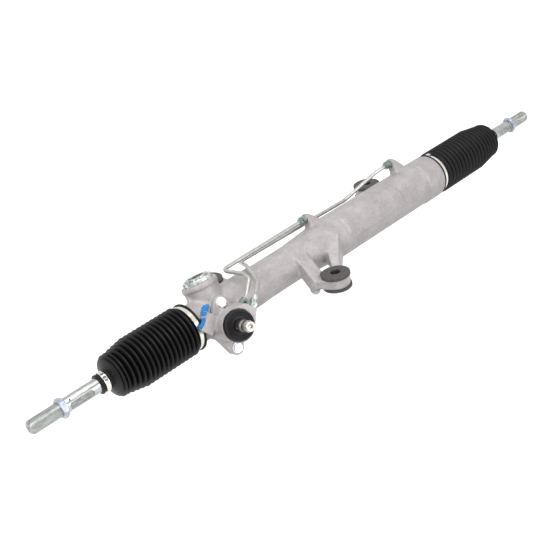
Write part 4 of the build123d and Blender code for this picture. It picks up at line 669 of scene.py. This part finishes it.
# ---- Mounting bushes
# Soft mountings for the three bolts that hold the rack in the car: moulded rubber, pressed into
# the eyes up to its flanges, with a steel sleeve in the middle that the bolt clamps.
bush_rubber = finish("bush_rubber", light=(0.085, 0.073, 0.073), dark=(0.055, 0.047, 0.048),
                     patches=130.0, rough=0.62, spread=0.1, metal=0.0, grain=1300.0, depth=0.25,
                     edge=0.0008)
wear(bush_rubber, "front_bush_rubber", "rear_bush_rubbers")
wear(dark_steel, "front_bush_sleeve", "rear_bush_sleeves")


# ---- Oil pipes
# Two bent steel tubes with a grey zinc coat take the oil from the valve to the cylinder's ends.
# A hexagon union nut, passivated a darker green-grey, screws each end into its port.
pipe_zinc = finish("pipe_zinc", light=(0.58, 0.58, 0.555), dark=(0.42, 0.42, 0.40), patches=120.0,
                   rough=0.34, spread=0.07, metal=0.9, grain=800.0, depth=0.06, edge=0.0)
wear(pipe_zinc, "left_chamber_pipe", "right_chamber_pipe")
nut_zinc = finish("nut_zinc", light=(0.44, 0.50, 0.47), dark=(0.10, 0.14, 0.13), patches=260.0,
                  rough=0.28, spread=0.08, metal=1.0, grain=1200.0, depth=0.1, edge=0.0006)
wear(nut_zinc, "pipe_union_nuts")


# ---- Tie rods and jam nuts
# Forged steel rods in zinc, each hung by its ball in a socket on the bar's end. They have two
# wrench flats, a rolled thread at the tip for the rod end, and a thin bluish jam nut on it.
rod_zinc = finish("rod_zinc", light=(0.58, 0.59, 0.575), dark=(0.30, 0.315, 0.305), patches=70.0,
                  rough=0.22, spread=0.07, metal=1.0, grain=700.0, depth=0.05, stretch=(1, 5, 5),
                  edge=0.0005)
flat_zinc = finish("flat_zinc", light=(0.46, 0.47, 0.46), dark=(0.13, 0.135, 0.13), patches=420.0,
                   rough=0.42, spread=0.1, metal=0.9, grain=900.0, depth=0.3, stretch=(0.3, 1, 1),
                   edge=0.0)
thread_zinc = finish("thread_zinc", light=(0.46, 0.475, 0.455), dark=(0.22, 0.235, 0.22),
                     patches=60.0, rough=0.34, spread=0.04, metal=1.0, grain=800.0, depth=0.02,
                     stretch=(1, 4, 4), edge=0.0)
flat_from_axis = 0.00975
thread_pitch = 1.5
thread_length = 48.0
thread_radius = 10.70
thread_half_depth = 0.2
rings_a_pitch = 6


def threaded_rod(hand, side, tip):
    """A tie rod, its tip this far from the housing's middle in mm: the CAD's ball and shank with
    darker wrench flats, and a rolled thread from the jam nut to the tip."""
    way = Vector((side, 0.0, 0.0))
    start = tip - thread_length - 1.0
    shank = cut_copy(f"{hand}_tie_rod_shank", f"{hand}_tie_rod", bar_middle + way * (start / 1000),
                     way, rod_zinc)
    shank.data.materials.append(flat_zinc)
    for face in shank.data.polygons:
        from_axis = abs(face.center.y - bar_middle.y)
        if abs(face.normal.y) > 0.999 and abs(from_axis - flat_from_axis) < 0.00005:
            face.material_index = 1

    def winding(along):
        """A ring through the thread, where it rises and falls once in a turn."""
        def at(turn):
            wave = math.cos(2 * math.pi * (along / thread_pitch - turn))
            return along, thread_radius + thread_half_depth * wave
        return at

    rows = int((tip - 3.2 - start) / thread_pitch * rings_a_pitch)
    rings = [plain(start, 9.9)]
    rings += [winding(start + 0.6 + row * thread_pitch / rings_a_pitch) for row in range(rows)]
    rings += [plain(tip - 2.5, 10.4), plain(tip - 0.5, 8.9), plain(tip, 8.2), plain(tip, 6.4),
              plain(tip - 0.35, 6.0), plain(tip - 0.5, 3.0), plain(tip - 2.4, 1.2)]
    thread = ringed_skin(f"{hand}_tie_rod_thread", bar_middle, way, rings, 48, thread_zinc,
                         crease=50.0)
    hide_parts(f"{hand}_tie_rod")
    for piece in (shank, thread):
        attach(piece, f"{hand}_rod")
    return shank


left_shank = threaded_rod("left", -1, 578.0)
threaded_rod("right", 1, 608.0)
# Painted shade: a black disc on the left shank near the jam nut stands for the dark inside a small
# punched hole.
painted_hole_shade = finish("painted_hole_shade", light=(0.02, 0.02, 0.022), dark=(0.008, 0.008, 0.009),
                    patches=300.0, rough=0.5, spread=0.08, metal=0.0, grain=900.0, depth=0.1,
                    edge=0.0)
punched_hole_shade = [(69.6 + math.cos(math.pi * k / 4), 399.8 + math.sin(math.pi * k / 4))
              for k in range(8)]
dab("left_rod_punch_mark", punched_hole_shade, tree_of((left_shank,)), painted_hole_shade, "left_rod")
nut_blue = finish("nut_blue", light=(0.52, 0.55, 0.63), dark=(0.30, 0.33, 0.41), patches=180.0,
                  rough=0.36, spread=0.06, metal=0.7, grain=1200.0, depth=0.08, edge=0.0005)
wear(nut_blue, "left_jam_nut", "right_jam_nut")


# ---- Boots and their clamps
# Black moulded bellows, made here in three lengths a side. Stainless bands hold each boot, a wide
# one on the housing and a small one on the rod.
boot_rubber = finish("boot_rubber", light=(0.0048, 0.0048, 0.0056), dark=(0.0026, 0.0026, 0.0031),
                     patches=60.0, rough=0.42, spread=0.06, metal=0.0, grain=1000.0, depth=0.1,
                     edge=0.0, gloss=0.24)
band_steel = finish("band_steel", light=(0.84, 0.81, 0.74), dark=(0.62, 0.60, 0.55), patches=160.0,
                    rough=0.2, spread=0.06, metal=1.0, grain=900.0, depth=0.04, stretch=(6, 1, 1),
                    edge=0.0003)

# Sizes of a boot in mm, along the bar from the housing's middle, and from the bar's axis.
ridges_start = 305.5
ridge_count = 16
ridge_crest = 40.0
ridge_depth = 6.5
last_full_ridge = 11
ridge_taper = 1.5
dome_length = 12.0
cuff_length = 16.0
boot_wall = 2.0
valley_one, valley_two = 12, 14
mouth = [(293.0, 31.05), (293.0, 38.2), (293.3, 38.7), (293.8, 38.9), (294.8, 38.9), (295.3, 38.7),
         (295.5, 38.2), (295.5, 35.6), (303.5, 35.6), (303.7, 36.6), (304.4, 36.2)]
mouth_inside = (303.5, 31.05)
dome = [(0.0, 0.76), (0.05, 0.80), (0.13, 0.835), (0.20, 0.835), (0.28, 0.80), (0.34, 0.755),
        (0.39, 0.735), (0.44, 0.755), (0.50, 0.765), (0.57, 0.745), (0.66, 0.675), (0.76, 0.585),
        (0.86, 0.50), (0.94, 0.445)]  # shares of the dome's length and of the crest


def turned_skin(name, outline, side):
    """A closed skin of boot rubber, its outline turned about the bar's axis."""
    around = 96
    count = len(outline)
    corners, faces = [], []
    for step in range(around):
        angle = 2 * math.pi * step / around
        for along, radius in outline:
            corners.append((bar_middle.x + side * along / 1000,
                            bar_middle.y + radius / 1000 * math.cos(angle),
                            bar_middle.z + radius / 1000 * math.sin(angle)))
    for step in range(around):
        here, there = step * count, (step + 1) % around * count
        for i in range(count):
            j = (i + 1) % count
            face = (here + i, here + j, there + j, there + i)
            faces.append(face if side > 0 else face[::-1])
    mesh = bpy.data.meshes.new(name)
    mesh.from_pydata(corners, [], faces)
    dress(mesh, boot_rubber, crease=60.0)
    return put_in_scene(name, mesh)


def boot_pieces(hand, side, cuff_end):
    """One boot in three lengths that meet at valleys."""
    cuff_start = cuff_end - cuff_length
    ridges_end = cuff_start - dome_length
    pitch = (ridges_end - ridges_start) / ridge_count

    def ridges(first, last, inset, steps):
        """Points over these ridges: round crests, tight valleys, the last ridges ever smaller."""
        points = []
        for ridge in range(first, last):
            top = ridge_crest - ridge_taper * max(0, ridge - last_full_ridge) - inset
            following = ridge_crest - ridge_taper * max(0, ridge + 1 - last_full_ridge) - inset
            for step in range(steps):
                share = step / steps
                rise = math.sin(math.pi * share) ** 1.25
                drop = 0.0
                if ridge < ridge_count - 1:
                    drop = (following - top) * max(0.0, share - 0.5)
                points.append((ridges_start + (ridge + share) * pitch,
                               top - ridge_depth + ridge_depth * rise + drop))
        return points

    def outer(first, last):
        return ridges(first, last, 0.0, 8)

    def inner(first, last):
        return ridges(first, last, boot_wall, 4)[::-1]

    def valley(ridge):
        """The wall across a valley, from its outer to its inner point."""
        return [ridges(ridge, ridge + 1, 0.0, 1)[0], ridges(ridge, ridge + 1, boot_wall, 1)[0]]

    outer_dome = [(ridges_end + share * dome_length, ridge_crest * radius)
                  for share, radius in dome]
    inner_dome = [(along, radius - boot_wall) for along, radius in outer_dome]
    cuff = [(cuff_start - 0.3, 15.6), (cuff_start + 0.6, 15.0), (cuff_start + 1.6, 15.0),
            (cuff_start + 2.0, 14.7), (cuff_start + 2.0, 14.0), (cuff_end - 2.5, 14.0),
            (cuff_end - 2.5, 14.8), (cuff_end - 2.2, 15.0), (cuff_end - 0.5, 15.0),
            (cuff_end, 14.5), (cuff_end, 11.5), (cuff_start, 11.5)]
    inboard = (mouth + outer(0, valley_one) + valley(valley_one) + inner(0, valley_one)
               + [mouth_inside])
    middle = outer(valley_one, valley_two) + valley(valley_two) + inner(valley_one, valley_two)
    outboard = (outer(valley_two, ridge_count) + outer_dome + cuff + inner_dome[::-1]
                + inner(valley_two, ridge_count))
    near = turned_skin(f"{hand}_boot_inboard", inboard, side)
    swing = turned_skin(f"{hand}_boot_middle", middle, side)
    far = turned_skin(f"{hand}_boot_outboard", outboard, side)
    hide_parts(f"{hand}_boot")
    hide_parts(f"{hand}_boot")
    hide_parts(f"{hand}_boot")
    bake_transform(near)
    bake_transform(swing)
    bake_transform(far)


boot_pieces("left", -1, cuff_end=464.0)
boot_pieces("right", 1, cuff_end=494.0)
wear(band_steel, "left_boot_large_clamp", "right_boot_large_clamp", "left_boot_small_clamp",
     "right_boot_small_clamp")
# The small clamps' slots are painted shade: dark sheets laid on the band, not cut through it.
window_angles = (110.0, 130.0, 150.0)
window_low, window_high = 0.01600, 0.01622  # radius, in metres, from in the band to just proud


def clamp_painted_slot_shade(hand, side, band_start):
    """Painted shade for the slots across a small clamp, where its folded ends catch in one another:
    thin dark sheets laid on the band.
    """
    work = bmesh.new()
    for middle in window_angles:
        rows = []
        for radius in (window_low, window_high):
            for along in (band_start + 0.9, band_start + 6.1):
                row = []
                for step in range(5):
                    angle = math.radians(middle - 6.0 + 3.0 * step)
                    row.append(work.verts.new((bar_middle.x + side * along / 1000,
                                               bar_middle.y + radius * math.cos(angle),
                                               bar_middle.z + radius * math.sin(angle))))
                rows.append(row)
        low, low_far, high, high_far = rows
        for one, two in ((low, low_far), (low_far, high_far), (high_far, high), (high, low)):
            for step in range(4):
                work.faces.new((one[step], one[step + 1], two[step + 1], two[step]))
        for step in (0, 4):
            work.faces.new((low[step], low_far[step], high_far[step], high[step]))
    mesh = closed_mesh(f"{hand}_clamp_painted_slot_shade", work)
    mesh.materials.append(dark_steel)
    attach(put_in_scene(f"{hand}_clamp_painted_slot_shade", mesh), f"{hand}_rod")


clamp_painted_slot_shade("left", -1, band_start=452.25)
clamp_painted_slot_shade("right", 1, band_start=482.25)
